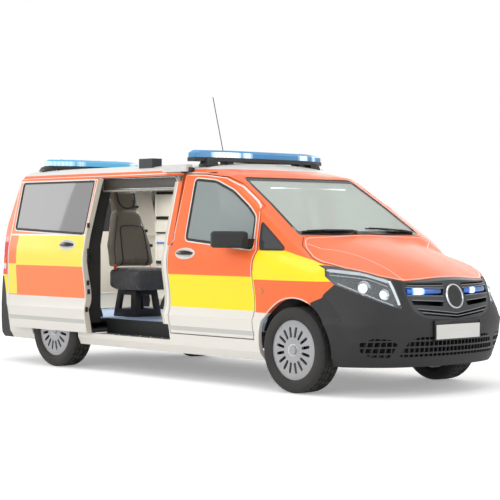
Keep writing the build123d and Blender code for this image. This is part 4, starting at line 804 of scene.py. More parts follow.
for corner, (x, y, side) in hub_places.items():
    place = Matrix.Translation((x, y, TYRE_RADIUS)) @ Matrix.Rotation(0 if side > 0 else math.pi, 4, "Z")
    rolling = "wheel_" + corner
    cover = copy_of(tread, "tyre_tread_" + corner, place)
    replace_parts(done(cover, tyre_rubber, rolling, 35), "tyre_" + corner)
    done(copy_of(shade, "brake_shadow_" + corner, place), black_plastic, rolling)
    done(copy_of(nut, "cap_ring_" + corner, place), bright, rolling)
for spare in (tread, shade, nut):
    bpy.data.objects.remove(spare)

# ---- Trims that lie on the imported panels

trees = {}
SEEN = {"left": (lambda a, b: (a, 3, b), (0, -1, 0)), "right": (lambda a, b: (a, -3, b), (0, 1, 0)),
        "front": (lambda a, b: (4, a, b), (-1, 0, 0)), "back": (lambda a, b: (-4, a, b), (1, 0, 0)),
        "top": (lambda a, b: (a, b, 3), (0, 0, -1))}


def tree_from(mesh):
    return BVHTree.FromPolygons([v.co for v in mesh.vertices], [tuple(f.vertices) for f in mesh.polygons])


def tree_of(name):
    if name not in trees:
        trees[name] = tree_from(nodes[name].data)
    return trees[name]


def laid_one(a, b, names, seen, lift=0.0):
    """The outermost point of the named nodes, seen square from one side, lifted along its normal."""
    start, way = SEEN[seen]
    best = None
    for name in names:
        place, normal, index, distance = tree_of(name).ray_cast(Vector(start(a, b)), Vector(way))
        if place is not None and (best is None or distance < best[2]):
            best = (place, normal if normal.dot(Vector(way)) < 0 else -normal, distance)
    return best and best[0] + best[1] * lift


def facing(a, b, names, seen, reach=0.03):
    """Place and smoothed outward direction of a panel at a point."""
    middle = laid_one(a, b, names, seen)
    across = [laid_one(a + s * reach, b, names, seen) for s in (-1, 1)]
    along = [laid_one(a, b + s * reach, names, seen) for s in (-1, 1)]
    normal = (across[1] - across[0]).cross(along[1] - along[0]).normalized()
    return middle, normal if normal.dot(Vector(SEEN[seen][1])) < 0 else -normal


def met(points):
    """The points without those where nothing was met."""
    return [p for p in points if p is not None]


def shrunk(points, middle, share):
    """The outline drawn in towards its middle."""
    return [(middle[0] + (a - middle[0]) * share, middle[1] + (b - middle[1]) * share) for a, b in points]


def resampled(points, step, closed=True):
    """An outline with a point at about every step."""
    ends = points[1:] + (points[:1] if closed else [])
    found = []
    for a, b in zip(points, ends):
        a, b = Vector(a), Vector(b)
        count = max(1, round((b - a).length / step))
        found += [tuple(a.lerp(b, i / count)) for i in range(count)]
    return found if closed else found + [tuple(points[-1])]


def softened(points, radius, closed=True, count=4):
    """An outline whose corners are short curves."""
    found = []
    for i, point in enumerate(points):
        if not closed and i in (0, len(points) - 1):
            found.append(tuple(point))
            continue
        p, before, after = Vector(point), Vector(points[i - 1]), Vector(points[(i + 1) % len(points)])
        a, b = before - p, after - p
        a = p + a.normalized() * min(radius, a.length / 2.1)
        b = p + b.normalized() * min(radius, b.length / 2.1)
        found += [tuple(a * (1 - t) ** 2 + p * 2 * t * (1 - t) + b * t * t)
                  for t in (k / count for k in range(count + 1))]
    return [p for i, p in enumerate(found) if i == 0 or (Vector(p) - Vector(found[i - 1])).length > 1e-5]


def grown(points, amount, closed=True):
    """The outline moved outwards, or an open line moved to its left, by so much."""
    turn = 1
    if closed:
        area = sum(a[0] * b[1] - b[0] * a[1] for a, b in zip(points, points[1:] + points[:1]))
        turn = 1 if area > 0 else -1
    found = []
    last = len(points) - 1
    for i, point in enumerate(points):
        before = points[i - 1] if closed or i else point
        after = points[(i + 1) % len(points)] if closed or i < last else point
        sides = []
        for a, b in ((before, point), (point, after)):
            way = Vector(b) - Vector(a)
            if way.length > 1e-7:
                way.normalize()
                sides.append(Vector((way.y, -way.x)) * turn)
        mean = sum(sides, Vector((0, 0))) / max(1, len(sides))
        found.append(tuple(Vector(point) + mean * amount / max(mean.length_squared, 0.3)))
    return found


def draped(name, rows, closed=False):
    """A grid whose rows of points lie where they are given."""
    all_off()
    bpy.ops.mesh.primitive_grid_add(x_subdivisions=len(rows[0]) - 1 + closed, y_subdivisions=len(rows) - 1, size=1)
    shape = bpy.context.object
    shape.name = name
    places = [p for row in rows for p in (list(row) + list(row[:1]) if closed else row)]
    for vertex, place in zip(shape.data.vertices, places):
        vertex.co = place
    if closed:
        mode("EDIT")
        take_all()
        bpy.ops.mesh.remove_doubles(threshold=0.00001)
        mode("OBJECT")
    return shape


def whole(rows):
    """The rows without the places that any of them misses."""
    kept = [i for i in range(len(rows[0])) if all(row[i] is not None for row in rows)]
    return [[row[i] for i in kept] for row in rows]


def faced(shape, fill=False):
    """Turns all faces outwards, after filling the open ends where that is asked."""
    only(shape)
    mode("EDIT")
    take_all()
    if fill:
        bpy.ops.mesh.fill_holes(sides=0)
    bpy.ops.mesh.normals_make_consistent(inside=False)
    mode("OBJECT")
    return shape


def thickened(shape, thickness):
    """A sheet given a wall, half of it on each side."""
    only(shape)
    wall = shape.modifiers.new("wall", "SOLIDIFY")
    wall.thickness, wall.offset = thickness, 0
    bpy.ops.object.modifier_apply(modifier=wall.name)
    return faced(shape)


def band(name, outline, inner, outer, names, seen, finish, body="body", slot="dark_plastic", closed=True,
         thick=0.0016, step=0.035, corner=0.03, lift=0.0):
    """A flat trim between two offsets of an outline, lying on the panels behind it."""
    line = resampled(softened(outline, corner, closed), step, closed)
    offsets = (inner, -0.0008, 0.0010, outer) if inner < -0.005 and outer > 0.003 else \
        (inner, (inner + outer) / 2, outer)
    rows = [[laid_one(a, b, names, seen, thick / 2 + 0.0003 + lift) for a, b in grown(line, offset, closed)]
            for offset in offsets]
    rows = whole(rows)
    return done(thickened(draped(name, rows, closed), thick), finish, body, 50)


# Window outlines, seen from the side and from the front
door_glass = [(0.378, 1.200), (0.364, 1.712), (0.611, 1.690), (0.838, 1.604), (1.050, 1.470), (1.142, 1.392),
              (1.180, 1.130)]
sail_glass = [(1.222, 1.352), (1.530, 1.140), (1.522, 1.124), (1.262, 1.124)]
slide_glass = [(-2.079, 1.282), (-2.089, 1.728), (-0.961, 1.728), (-0.971, 1.238)]
mid_glass = [(-1.000, 1.272), (-1.010, 1.728), (0.100, 1.728), (0.092, 1.232)]
rear_glass = [(-1.160, 1.276), (-1.168, 1.728), (-2.130, 1.716), (-2.200, 1.560), (-2.250, 1.300)]
door_edge = [(0.182, 0.397), (0.176, 0.638), (0.152, 1.146), (0.208, 1.193), (0.186, 1.766), (0.470, 1.758),
             (0.735, 1.727), (0.975, 1.619), (1.165, 1.483), (1.196, 1.420), (1.240, 1.118), (1.240, 0.397)]
slide_edge = [(-2.151, 0.340), (-2.151, 1.752), (-0.903, 1.752), (-0.929, 1.192), (-0.929, 1.146),
              (-0.907, 0.638), (-0.907, 0.340)]
screen_edge = [(-0.722, 1.246), (0.722, 1.246), (0.640, 1.722), (-0.640, 1.722)]
tail_glass = [(-0.618, 1.722), (0.618, 1.722), (0.712, 1.500), (0.756, 1.262), (-0.756, 1.262), (-0.712, 1.500)]


def pale_line(name, outline, inner, outer, names, seen, body="body", **more):
    """A thin pale line of foil on a panel."""
    return band(name, outline, inner, outer, names, seen, seam_white, body, "body_paint", **more)


def framed(name, tag, outline, offsets, names, seen, body="body"):
    """A dark seal and a pale line round a window, between three offsets of its outline."""
    inner, edge, outer = offsets
    band(name + "_seal" + tag, outline, inner, edge, names, seen, seal_rubber, body)
    pale_line(name + "_line" + tag, outline, edge, outer, names, seen, body)


for side in ("left", "right"):
    door = "door_" + side
    shell_side = ["side_" + side, "side_windows", "fenders", "roof"]
    framed("door_window", "_" + side, door_glass, (-0.014, 0.008, 0.018), [door, "door_glass_" + side], side, door)
    pale_line("door_edge_line_" + side, door_edge, -0.0170, -0.0110, [door], side, door, corner=0.012)
    band("sail_window_seal_" + side, sail_glass, -0.010, 0.006, shell_side, side, seal_rubber)
    framed("rear_window", "_" + side, rear_glass, (-0.016, 0.006, 0.015), shell_side, side)
framed("mid_window", "", mid_glass, (-0.016, 0.006, 0.015), ["side_left", "side_windows"], "left")
framed("slide_window", "", slide_glass, (-0.016, 0.006, 0.016), ["slide_door", "slide_door_glass"], "right")
pale_line("slide_edge_line", slide_edge, -0.022, -0.0095, ["slide_door"], "right", corner=0.03)
band("screen_frit", screen_edge, -0.026, 0.004, ["windscreen", "roof"], "front", black_gloss, corner=0.04)
band("tail_window_seal", tail_glass, -0.022, 0.006, ["tailgate", "tailgate_glass"], "back", black_gloss, "tailgate")

# ---- Nose


# Plain disc and ring on the round boss
lean = Matrix.Rotation(math.radians(-13), 4, "Y")
badge_place = Matrix.Translation((2.513, 0, 0.763)) @ lean
knob("badge_disc", [(0.0225, 0.0, 0.0), (0.0250, 0.0, 0.030), (0.0262, 0.0, 0.070), (0.0240, 0.0, 0.084),
     (0.0222, 0.0, 0.088)], 64, badge_place, black_gloss, smooth=40)
knob("badge_ring", [(0.0222, 0.0, 0.086), (0.0285, 0.0, 0.0885), (0.0305, 0.0, 0.0925), (0.0290, 0.0, 0.0975),
     (0.0222, 0.0, 0.101), (0.0222, 0.0, 0.086)], 64, badge_place, bright, smooth=40)

# Painted highlights: light satin metal beads along the edges of the winged bars and of the two vees, both sides
bar_highlight_edges = {"upper_bar_edge": [(0.112, 0.8540), (0.462, 0.8590)],
             "upper_bar_lower_edge": [(0.114, 0.8320), (0.478, 0.8440)],
             "middle_bar_edge": [(0.132, 0.7720), (0.480, 0.7820)],
             "middle_bar_lower_edge": [(0.140, 0.7320), (0.452, 0.7480)],
             "shield_vee_edge": [(0.0, 0.6380), (0.410, 0.6800)],
             "shield_vee_lower_edge": [(0.0, 0.6165), (0.370, 0.6505)]}
for name, points in bar_highlight_edges.items():
    for side, tag in SIDES:
        line = [laid_one(side * a, b, ("upper_grille",), "front", 0.0012) for a, b in resampled(points, 0.03, False)]
        bead(name + "_" + tag, met(line), 0.0028, satin)

# Blue lamps behind the upper bars
for side, name, lamp_finish in ((1, "left", blue_grille_left), (-1, "right", blue_grille_right)):
    rows = []
    for drop, deep in ((0.836, -0.016), (0.830, -0.006), (0.818, -0.002), (0.800, -0.006), (0.790, -0.016)):
        row = []
        for step in range(13):
            y = side * (0.140 + 0.325 * step / 12)
            front = laid_one(y, 0.8500, ["upper_grille"], "front")
            row.append(Vector((front.x + deep - 0.004 + (0.8500 - drop) * 0.22, y, drop)))
        rows.append(row)
    done(thickened(draped("grille_lamp_" + name, rows), 0.010), lamp_finish, "body", 50)

# Dark backing behind the grille openings
for name, outline, deep in (("shield_backing", [(-0.470, 0.885), (0.470, 0.885), (0.480, 0.790), (0.440, 0.690),
                                                (0.360, 0.625), (0.0, 0.600), (-0.360, 0.625), (-0.440, 0.690),
                                                (-0.480, 0.790)], 0.034),
                            ("intake_backing", [(-0.535, 0.322), (-0.478, 0.425), (-0.400, 0.455), (0.400, 0.455),
                                                (0.478, 0.425), (0.535, 0.322)], 0.036)):
    line = resampled(outline, 0.04)
    middle = (0.0, sum(p[1] for p in outline) / len(outline))
    rows = []
    for share in (0.985, 0.75, 0.4, 0.02):
        row = []
        for y, z in shrunk(line, middle, share):
            shell_x = 2.540 - 0.20 * (abs(y) / 0.5) ** 2.4 * 0.55 - max(0, z - 0.56) * 0.27
            row.append(Vector((shell_x - deep - 0.03, y, z)))
        rows.append(row)
    done(thickened(draped(name, rows, True), 0.004), black_plastic)

# Headlamps: a dark bowl under the clear cover, with its lenses and light guides
lamp_rim = [(0.538, 0.700), (0.552, 0.684), (0.592, 0.692), (0.683, 0.731), (0.776, 0.793), (0.852, 0.860),
            (0.872, 0.925), (0.846, 1.012), (0.700, 0.985), (0.562, 0.925)]
for side, name in SIDES:
    cover = ("headlamps",)
    line = resampled(softened(lamp_rim, 0.02), 0.03)
    middle = Vector((0.70, 0.855))
    rows = []
    for share, deep in ((0.985, -0.004), (0.955, -0.020), (0.90, -0.029), (0.5, -0.031), (0.04, -0.031)):
        rows.append([laid_one(side * a, b, cover, "front", deep) for a, b in shrunk(line, middle, share)])
    rows = whole(rows)
    done(thickened(draped("lamp_bowl_" + name, rows, True), 0.0015), lamp_dark, "body", 50)
    guides = {"lamp_upper_strip_": ([(0.852, 0.955), (0.838, 0.972), (0.700, 0.944), (0.586, 0.888)], -0.012, 0.012,
                                    lamp_clear_cells),
              "lamp_inner_strip_": ([(0.577, 0.895), (0.566, 0.800), (0.555, 0.712)], -0.009, 0.009, lamp_white),
              "lamp_middle_strip_": ([(0.848, 0.936), (0.780, 0.925), (0.690, 0.905), (0.600, 0.850)], -0.003, 0.003,
                                     bright),
              "lamp_lower_strip_": ([(0.835, 0.872), (0.770, 0.812), (0.683, 0.750), (0.600, 0.708)], -0.005, 0.005,
                                    bright)}
    for piece, (points, inner, outer, finish) in guides.items():
        band(piece + name, [(side * a, b) for a, b in points], inner, outer, cover, "front", finish, "body",
             "lamp_clear", False, 0.005, 0.02, 0.012, -0.008)
    for piece, a, b, size in (("outer", 0.732, 0.842, 0.058), ("inner", 0.640, 0.795, 0.044)):
        place, normal = facing(side * a, b, cover, "front")
        look = (normal * 0.6 + Vector((0.8, 0, 0))).normalized()
        seat = seated(place - normal * 0.016, look)
        knob("lamp_%s_bowl_%s" % (piece, name), [(-0.010, 0, size * 0.55), (0.001, 0, size * 0.72),
             (0.009, 0, size * 0.96), (0.010, 0, size), (0.007, 0, size), (-0.013, 0, size * 0.56),
             (-0.010, 0, size * 0.55)], 40, seat, bright, "body", 40)
        knob("lamp_%s_lens_%s" % (piece, name), [(0.010, 0, 0.0), (0.009, 0, size * 0.25), (0.005, 0, size * 0.46),
             (-0.002, 0, size * 0.60), (-0.012, 0, size * 0.62)], 40, seat, lamp_glow, "body", 60)

# Bonnet: pale foil joints
seam_run = [(1.600, 0.782), (1.700, 0.640), (1.795, 0.552), (1.920, 0.492), (2.044, 0.458), (2.247, 0.443),
            (2.420, 0.462)]
for side, name in SIDES:
    pale_line("bonnet_seam_line_" + name, [(a, side * b) for a, b in seam_run], -0.0025, 0.0025, ("bonnet",), "top",
              "bonnet", closed=False, thick=0.0012, step=0.05, corner=0.06)
bonnet_rim = [(1.560, 0.0), (1.575, 0.690), (1.652, 0.772), (1.860, 0.798), (2.074, 0.749), (2.290, 0.602),
              (2.406, 0.466), (2.432, 0.300), (2.442, 0.0)]
rim = bonnet_rim + [(a, -b) for a, b in bonnet_rim[-2:0:-1]]
pale_line("bonnet_edge_line", rim, -0.003, 0.003, ("bonnet",), "top", "bonnet", thick=0.0012, step=0.05, corner=0.05)

# Cowl and wipers
cowl_rows = []
for x, z in ((1.536, 1.2485), (1.545, 1.2505), (1.5495, 1.2490)):
    cowl_rows.append([Vector((x - 0.02 * (y / 0.7) ** 2, y, z - 0.004 * (y / 0.7) ** 2))
                      for y in [-0.70 + 1.40 * i / 24 for i in range(25)]])
done(thickened(draped("cowl_strip", cowl_rows), 0.006), black_plastic, smooth=50)


def on_screen(y, z, lift):
    return laid_one(y, z, ("windscreen", "roof"), "front", lift)


for name, tip, root, pivot in (("left", (0.105, 1.290), (0.640, 1.262), (0.630, 1.252)),
                               ("right", (-0.655, 1.266), (-0.030, 1.270), (-0.070, 1.253))):
    blade = [on_screen(tip[0] + (root[0] - tip[0]) * i / 14,
                       tip[1] + (root[1] - tip[1]) * i / 14 + 0.006 * math.sin(math.pi * i / 14), 0.008)
             for i in range(15)]
    bead("wiper_blade_" + name, blade, 0.0055, seal_rubber)
    bead("wiper_back_" + name, [p + Vector((0.006, 0, 0.006)) for p in blade[1:-1]], 0.0035, black_plastic)
    clasp = blade[5]
    base = on_screen(pivot[0], pivot[1], 0.006)
    arm = [base.lerp(clasp, t) + Vector((0.010, 0, 0.014)) * math.sin(math.pi * min(1, t + 0.2))
           for t in (0, 0.15, 0.35, 0.6, 0.85, 1.0)]
    bead("wiper_arm_" + name, arm, 0.007, black_plastic)
    knob("wiper_hub_" + name, [(-0.010, 0, 0.016), (0.010, 0, 0.015), (0.015, 0, 0.009), (0.016, 0, 0.0)], 20,
         seated(base, Vector((1, 0, 2))), black_plastic)

# Number plate frames and parking sensors
for end, x in (("front", 1), ("rear", -1)):
    low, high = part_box("number_plates")
    face_x = high.x if x > 0 else low.x
    near_x, far_x = sorted((face_x - x * 0.020, face_x - x * 0.002))
    plate("plate_frame_" + end, (near_x, -0.272, 0.430), (far_x, 0.272, 0.587), (0.002, 2), black_plastic,
          face=(x, 0, 0), rim=0.010, push=(-x * 0.008, 0, 0))
for side, name in SIDES:
    for number, (a, b) in enumerate(((0.914, 0.597), (0.750, 0.566), (0.300, 0.530))):
        place, normal = facing(side * a, b, ("front_bumper",), "front") if a < 0.9 else \
            facing(2.140, b, ("front_bumper",), name)
        knob("park_sensor_%d_%s" % (number, name), [(-0.002, 0, 0.0125), (0.0018, 0, 0.0120), (0.0026, 0, 0.0095),
             (0.0022, 0, 0.0)], 24, seated(place, normal),
             black_plastic)

# ---- Handles, lamps and trims on the sides and the roof


def on_panel(a, b, names, seen):
    """A turn and shift to a place on a panel, with +X along its normal and +Z up the panel."""
    place, normal = facing(a, b, names, seen)
    along = Vector((0, 0, 1)).cross(normal).normalized()
    rise = normal.cross(along)
    return Matrix.Translation(place) @ Matrix((normal, along, rise)).transposed().to_4x4()


def pull_handle(tag, x, z, names, seen, body, long=0.124, tall=0.050):
    """Pale oval cup with a dark grip across it, set on the panel."""
    seat = on_panel(x, z, names, seen)
    rows = []
    for share, out in ((1.0, 0.0004), (0.985, 0.0042), (0.93, 0.0060), (0.86, 0.0046), (0.70, 0.0022), (0.3, 0.0012),
                       (0.02, 0.0010)):
        rows.append([seat @ Vector((out, long * share * math.cos(t), tall * share * math.sin(t)))
                     for t in (math.tau * i / 40 for i in range(40))])
    cup = draped("handle_cup_" + tag, rows, True)
    done(thickened(cup, 0.0008), seam_white, body, 50)
    grip_rows = []
    for t in [-1 + i / 8 for i in range(17)]:
        half = 0.0195 * (1 - 0.55 * abs(t) ** 3)
        out = 0.0105 + 0.0150 * (1 - t * t)
        lane = []
        for k in range(10):
            turn = math.tau * k / 10
            lane.append(seat @ Vector((out + 0.0075 * math.cos(turn) * (1 - 0.3 * abs(t) ** 3),
                                       t * long * 0.82, half * math.sin(turn) + 0.002)))
        grip_rows.append(lane)
    done(faced(draped("handle_grip_" + tag, grip_rows, True), True), black_gloss, body, 50)
    for end in (-1, 1):
        plate("handle_foot_%s_%d" % (tag, end > 0), (0.001, end * long * 0.70 - 0.010, -0.008),
              (0.016, end * long * 0.70 + 0.010, 0.010), (0.003, 2), black_plastic, body, seat=seat)


pull_handle("front_right", 0.396, 1.082, ("door_right",), "right", "door_right")
pull_handle("front_left", 0.396, 1.082, ("door_left",), "left", "door_left")
pull_handle("slide", -1.202, 1.140, ("slide_door",), "right", "body")

for side, seen in SIDES:
    knob("side_indicator_" + seen, [(0.0, 0, 0.026), (0.004, 0, 0.026), (0.007, 0, 0.021), (0.009, 0, 0.012),
         (0.0095, 0, 0.0)], 32, on_panel(1.324, 0.795, ("fenders",), seen), amber_lamp, "body", 40)
    # Pale edges of the wheel arches
    for name, axle, angles, panels in (("arch_line_", FRONT_AXLE, range(62, 196, 4), ("fenders",)),
                                       ("rear_arch_line_", REAR_AXLE, range(-14, 196, 5),
                                        ("side_" + seen, "rear_bumper"))):
        arc = [(axle + ARCH_RADIUS * math.cos(math.radians(t)), ARCH_HEIGHT + ARCH_RADIUS * math.sin(math.radians(t)))
               for t in angles]
        pale_line(name + seen, arc, -0.004, 0.004, panels, seen, closed=False, thick=0.0014, step=0.03, corner=0.0)

# Mirrors: glass on the back
for side, name in SIDES:
    outline = [(side * a, b) for a, b in ((0.968, 1.158), (1.098, 1.158), (1.108, 1.200), (1.100, 1.252),
                                          (0.990, 1.256), (0.962, 1.230))]
    line = resampled(softened(outline, 0.025), 0.02)
    centre = (sum(p[0] for p in outline) / 6, sum(p[1] for p in outline) / 6)
    rows = []
    for share in (1.0, 0.96, 0.5, 0.02):
        rows.append([laid_one(a, b, ("mirror_" + name,), "back", 0.0016 if share < 1 else 0.0004)
                     for a, b in shrunk(line, centre, share)])
    rows = whole(rows)
    done(thickened(draped("mirror_glass_" + name, rows, True), 0.0012), mirror_face, "door_" + name)

# Sliding door: latches on its front edge
for number, z in enumerate((1.32, 1.09, 1.00, 0.80, 0.72, 0.56)):
    place = laid_one(-0.925, z, ("slide_door",), "right")
    y = place.y if place is not None else -1.02
    plate("slide_latch_%d" % number, (-0.913, y + 0.012, z - 0.022 - 0.012 * (number == 1)),
          (-0.905, y + 0.038, z + 0.022), (0.0015, 2), black_plastic, face=(1, 0, 0), rim=0.006, push=(0.006, 0, 0))

# Light bars: raised black feet, lens joints
for number, (x, half) in enumerate(((0.335, 0.62), (-2.150, 0.55))):
    for side, tag in SIDES:
        roof_top = laid_one(x, side * half, ("roof",), "top")
        foot = block("bar_foot_%d_%s" % (number, tag),
                     (x - 0.085, side * half - 0.075, roof_top.z - 0.004), (x + 0.060, side * half + 0.055, 1.895))
        pick(foot, lambda c, n: n.z > 0.9)
        bpy.ops.transform.resize(value=(0.62, 0.80, 1), center_override=(x, side * half * 0.98, 1.895))
        round_off(foot, 0.012, 3)
        done(foot, black_plastic, "body")
for number, middle in enumerate((0.26, -2.14)):
    for step in (-0.42, -0.21, 0.0, 0.21, 0.42):
        joint = met([laid_one(middle + d, step, ("light_bar_lenses",), "top", 0.0008) for d in
                     (-0.055, -0.03, 0.0, 0.03, 0.055, 0.075)])
        if len(joint) > 2:
            bead("lens_joint_%d_%d" % (number, round(step * 100) + 50), joint, 0.0022, black_gloss, "body")

# Caps of the scene lamps
for side, name in SIDES:
    place = laid_one(0.215, side * 0.775, ("roof_lamps",), "top")
    if place is not None:
        cap = block("scene_lamp_cap_" + name, (0.180, side * 0.778 - 0.052, place.z - 0.075),
                    (0.285, side * 0.778 + 0.052, place.z + 0.004))
        pick(cap, lambda c, n: n.x > 0.9)
        bpy.ops.transform.resize(value=(1, 0.45, 0.35), center_override=(0.285, side * 0.770, place.z - 0.050))
        round_off(cap, 0.008, 3)
        done(cap, black_plastic, "body")

# ---- Padded seats


def loose_parts(node, tag):
    """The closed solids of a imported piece, as separate merged meshes."""
    copy = nodes[node].copy()
    copy.data = nodes[node].data.copy()
    copy.name = tag
    copy.parent = None
    scene.collection.objects.link(copy)
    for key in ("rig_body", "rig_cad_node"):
        if key in copy:
            del copy[key]
    only(copy)
    mode("EDIT")
    bpy.ops.mesh.select_mode(type="VERT")
    take_all()
    bpy.ops.mesh.remove_doubles(threshold=0.00005)
    bpy.ops.mesh.separate(type="LOOSE")
    mode("OBJECT")
    return list(bpy.context.selected_objects)


def padded_from(shape, voxel, swell, pressure=4.0):
    """Remeshes a cushion's solid, lets it swell as a filled cover, caps the swelling and smooths it once."""
    only(shape)
    bpy.ops.object.transform_apply(location=True, rotation=True, scale=True)
    centre = sum((v.co for v in shape.data.vertices), Vector()) / len(shape.data.vertices)
    shape.data.transform(Matrix.Translation(centre) @ Matrix.Diagonal((0.955, 0.965, 0.965, 1)) @
                         Matrix.Translation(-centre))
    shape.data.remesh_voxel_size = voxel
    bpy.ops.object.voxel_remesh()
    rest = [v.co.copy() for v in shape.data.vertices]
    cloth = shape.modifiers.new("cover", "CLOTH")
    cloth.settings.use_pressure = True
    cloth.settings.uniform_pressure_force = pressure
    cloth.settings.effector_weights.gravity = 0
    cloth.settings.quality = 4
    cloth.settings.tension_stiffness = 12
    cloth.settings.bending_stiffness = 0.6
    cloth.point_cache.frame_start, cloth.point_cache.frame_end = 1, PAD_FRAMES
    for frame_number in range(1, PAD_FRAMES + 1):
        scene.frame_set(frame_number)
    bpy.ops.object.modifier_apply(modifier=cloth.name)
    scene.frame_set(1)
    for vertex, start in zip(shape.data.vertices, rest):
        moved = vertex.co - start
        if moved.length > swell:
            vertex.co = start + moved.normalized() * swell
    only(shape)
    calm = shape.modifiers.new("calm", "SMOOTH")
    calm.factor, calm.iterations = 0.5, 6
    bpy.ops.object.modifier_apply(modifier=calm.name)
    fine = shape.modifiers.new("fine", "SUBSURF")
    fine.levels = fine.render_levels = 1
    bpy.ops.object.modifier_apply(modifier=fine.name)
    return shape


def finish_pad(shape, name, body, node, cover):
    shape.name = name
    only(shape)
    bpy.ops.object.shade_smooth()
    shape.data.materials.clear()
    shape.data.materials.append(cover)
    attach(shape, body)
    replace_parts(shape, node)
    trees[name] = tree_from(shape.data)
    return shape


def extent(shape):
    """The two corners of the box round a shape."""
    places = [v.co for v in shape.data.vertices]
    return Vector([min(p[k] for p in places) for k in range(3)]), Vector([max(p[k] for p in places) for k in range(3)])


def piping(name, points, pad, seen="front", radius=0.0042, finish=None):
    """Cord of piping sewn along a line on a pad's face."""
    line = [laid_one(a, b, (pad,), seen, radius * 0.25) for a, b in resampled(softened(points, 0.05, False), 0.02,
                                                                               False)]
    return bead(name, met(line), radius, finish or seat_piping, "body", sides=8)


parts = loose_parts("attendant_seat", "attendant_part")
parts.sort(key=lambda part: extent(part)[1].z)
cushion, backrest = parts[0], parts[-1]
for vertex in cushion.data.vertices:
    if vertex.co.z < 0.850:
        vertex.co.z -= 0.042
low, high = extent(backrest)
mid = (low.y + high.y) / 2
only(backrest)
mode("EDIT")
take_all()
bpy.ops.mesh.bisect(plane_co=(0, 0, 1.130), plane_no=(0, 0, 1))
mode("OBJECT")
for vertex in backrest.data.vertices:
    if 1.478 < vertex.co.z < 1.525:
        vertex.co.z = 1.430
    if 1.380 < vertex.co.z < 1.478 and abs(vertex.co.y - mid) > 0.150:
        vertex.co.y = mid + (vertex.co.y - mid) * 0.64
finish_pad(padded_from(cushion, 0.009, 0.020), "attendant_cushion", "body", "attendant_seat",
           attendant_cover)
finish_pad(padded_from(backrest, 0.009, 0.018), "attendant_backrest", "body", "attendant_seat",
           attendant_back_cover)
low, high = extent(backrest)
mid = (low.y + high.y) / 2
piping("backrest_panel_piping", [(mid - 0.150, 0.90), (mid - 0.150, 1.10), (mid - 0.135, 1.320), (mid + 0.135, 1.320),
                                 (mid + 0.150, 1.10), (mid + 0.150, 0.90)], "attendant_backrest", radius=0.0065)
piping("headrest_piping", [(mid - 0.105, 1.655), (mid - 0.100, 1.54), (mid - 0.055, 1.485), (mid + 0.055, 1.485),
                           (mid + 0.100, 1.54), (mid + 0.105, 1.655)], "attendant_backrest", radius=0.0075)
for side, name in reversed(SIDES):
    piping("bolster_piping_" + name,
           [(mid + side * 0.222, 0.92), (mid + side * 0.212, 1.13), (mid + side * 0.132, 1.41)],
           "attendant_backrest", radius=0.004)
belt_line = resampled([(mid + 0.085, 1.560), (mid + 0.135, 1.420), (mid + 0.222, 1.120)], 0.03, False)
rows = [[laid_one(a + shift, b, ("attendant_backrest",), "front", 0.006) for a, b in belt_line]
        for shift in (-0.022, 0.0, 0.018)]
rows = whole(rows)
done(thickened(draped("attendant_belt", rows), 0.003), belt_webbing, "body", 50)
for number, (a, b) in enumerate(((mid + 0.105, 1.500), (mid + 0.178, 1.270), (mid + 0.218, 1.130))):
    place = laid_one(a, b, ("attendant_backrest",), "front", 0.0)
    if place is None:
        continue
    plate("belt_guide_%d" % number, (place.x - 0.004, a - 0.030, b - 0.014), (place.x + 0.016, a + 0.028, b + 0.014),
          (0.003, 2), black_plastic, face=(1, 0, 0), rim=0.006, push=(-0.004, 0, 0))
low_c, high_c = extent(cushion)
plate("belt_buckle", (low_c.x + 0.085, low_c.y + 0.004, high_c.z - 0.020),
      (low_c.x + 0.110, low_c.y + 0.020, high_c.z + 0.026), (0.003, 2), buckle_red,
      face=(0, 0, 1), rim=0.005, push=(0, 0, 0.008))
for name, edge, seen in (
        ("cushion_side_piping", [(low_c.x + 0.03, high_c.z - 0.030), (high_c.x - 0.02, high_c.z - 0.026)], "right"),
        ("cushion_front_piping", [(low_c.y + 0.03, high_c.z - 0.028), (high_c.y - 0.03, high_c.z - 0.028)], "front")):
    line = [laid_one(a, b, ("attendant_cushion",), seen, 0.001) for a, b in resampled(edge, 0.03, False)]
    bead(name, met(line), 0.004, seat_piping, "body", sides=8)

parts = loose_parts("front_seats", "front_part")
parts.sort(key=lambda part: (extent(part)[0].y > 0, extent(part)[1].z))
for part, kind in zip(parts[:2], ("cushion", "backrest")):
    padded_from(part, 0.013, 0.020)
    low, high = extent(part)
    twin = copy_of(part, "driver_" + kind, Matrix.Translation((0, 2 * abs((low.y + high.y) / 2), 0)))
    finish_pad(part, "passenger_" + kind, "body", "front_seats", seat_cover)
    finish_pad(twin, "driver_" + kind, "body", "front_seats", seat_cover)
    for pad in ("passenger_" + kind, "driver_" + kind):
        low, high = extent(bpy.data.objects[pad])
        centre = (low.y + high.y) / 2
        if "backrest" in pad:
            piping(pad + "_piping", [(centre - 0.13, low.z + 0.16), (centre - 0.135, low.z + 0.42),
                                     (centre - 0.10, low.z + 0.56), (centre + 0.10, low.z + 0.56),
                                     (centre + 0.135, low.z + 0.42), (centre + 0.13, low.z + 0.16)], pad)
        else:
            points = [(low.x + 0.12, centre - 0.135), (high.x - 0.09, centre - 0.14), (high.x - 0.09, centre + 0.14),
                      (low.x + 0.12, centre + 0.135)]
            piping(pad + "_piping", points, pad, "top")
for spare in parts[2:]:
    bpy.data.objects.remove(spare)

# ---- Load space: header over the doorway and frame behind the sliding door

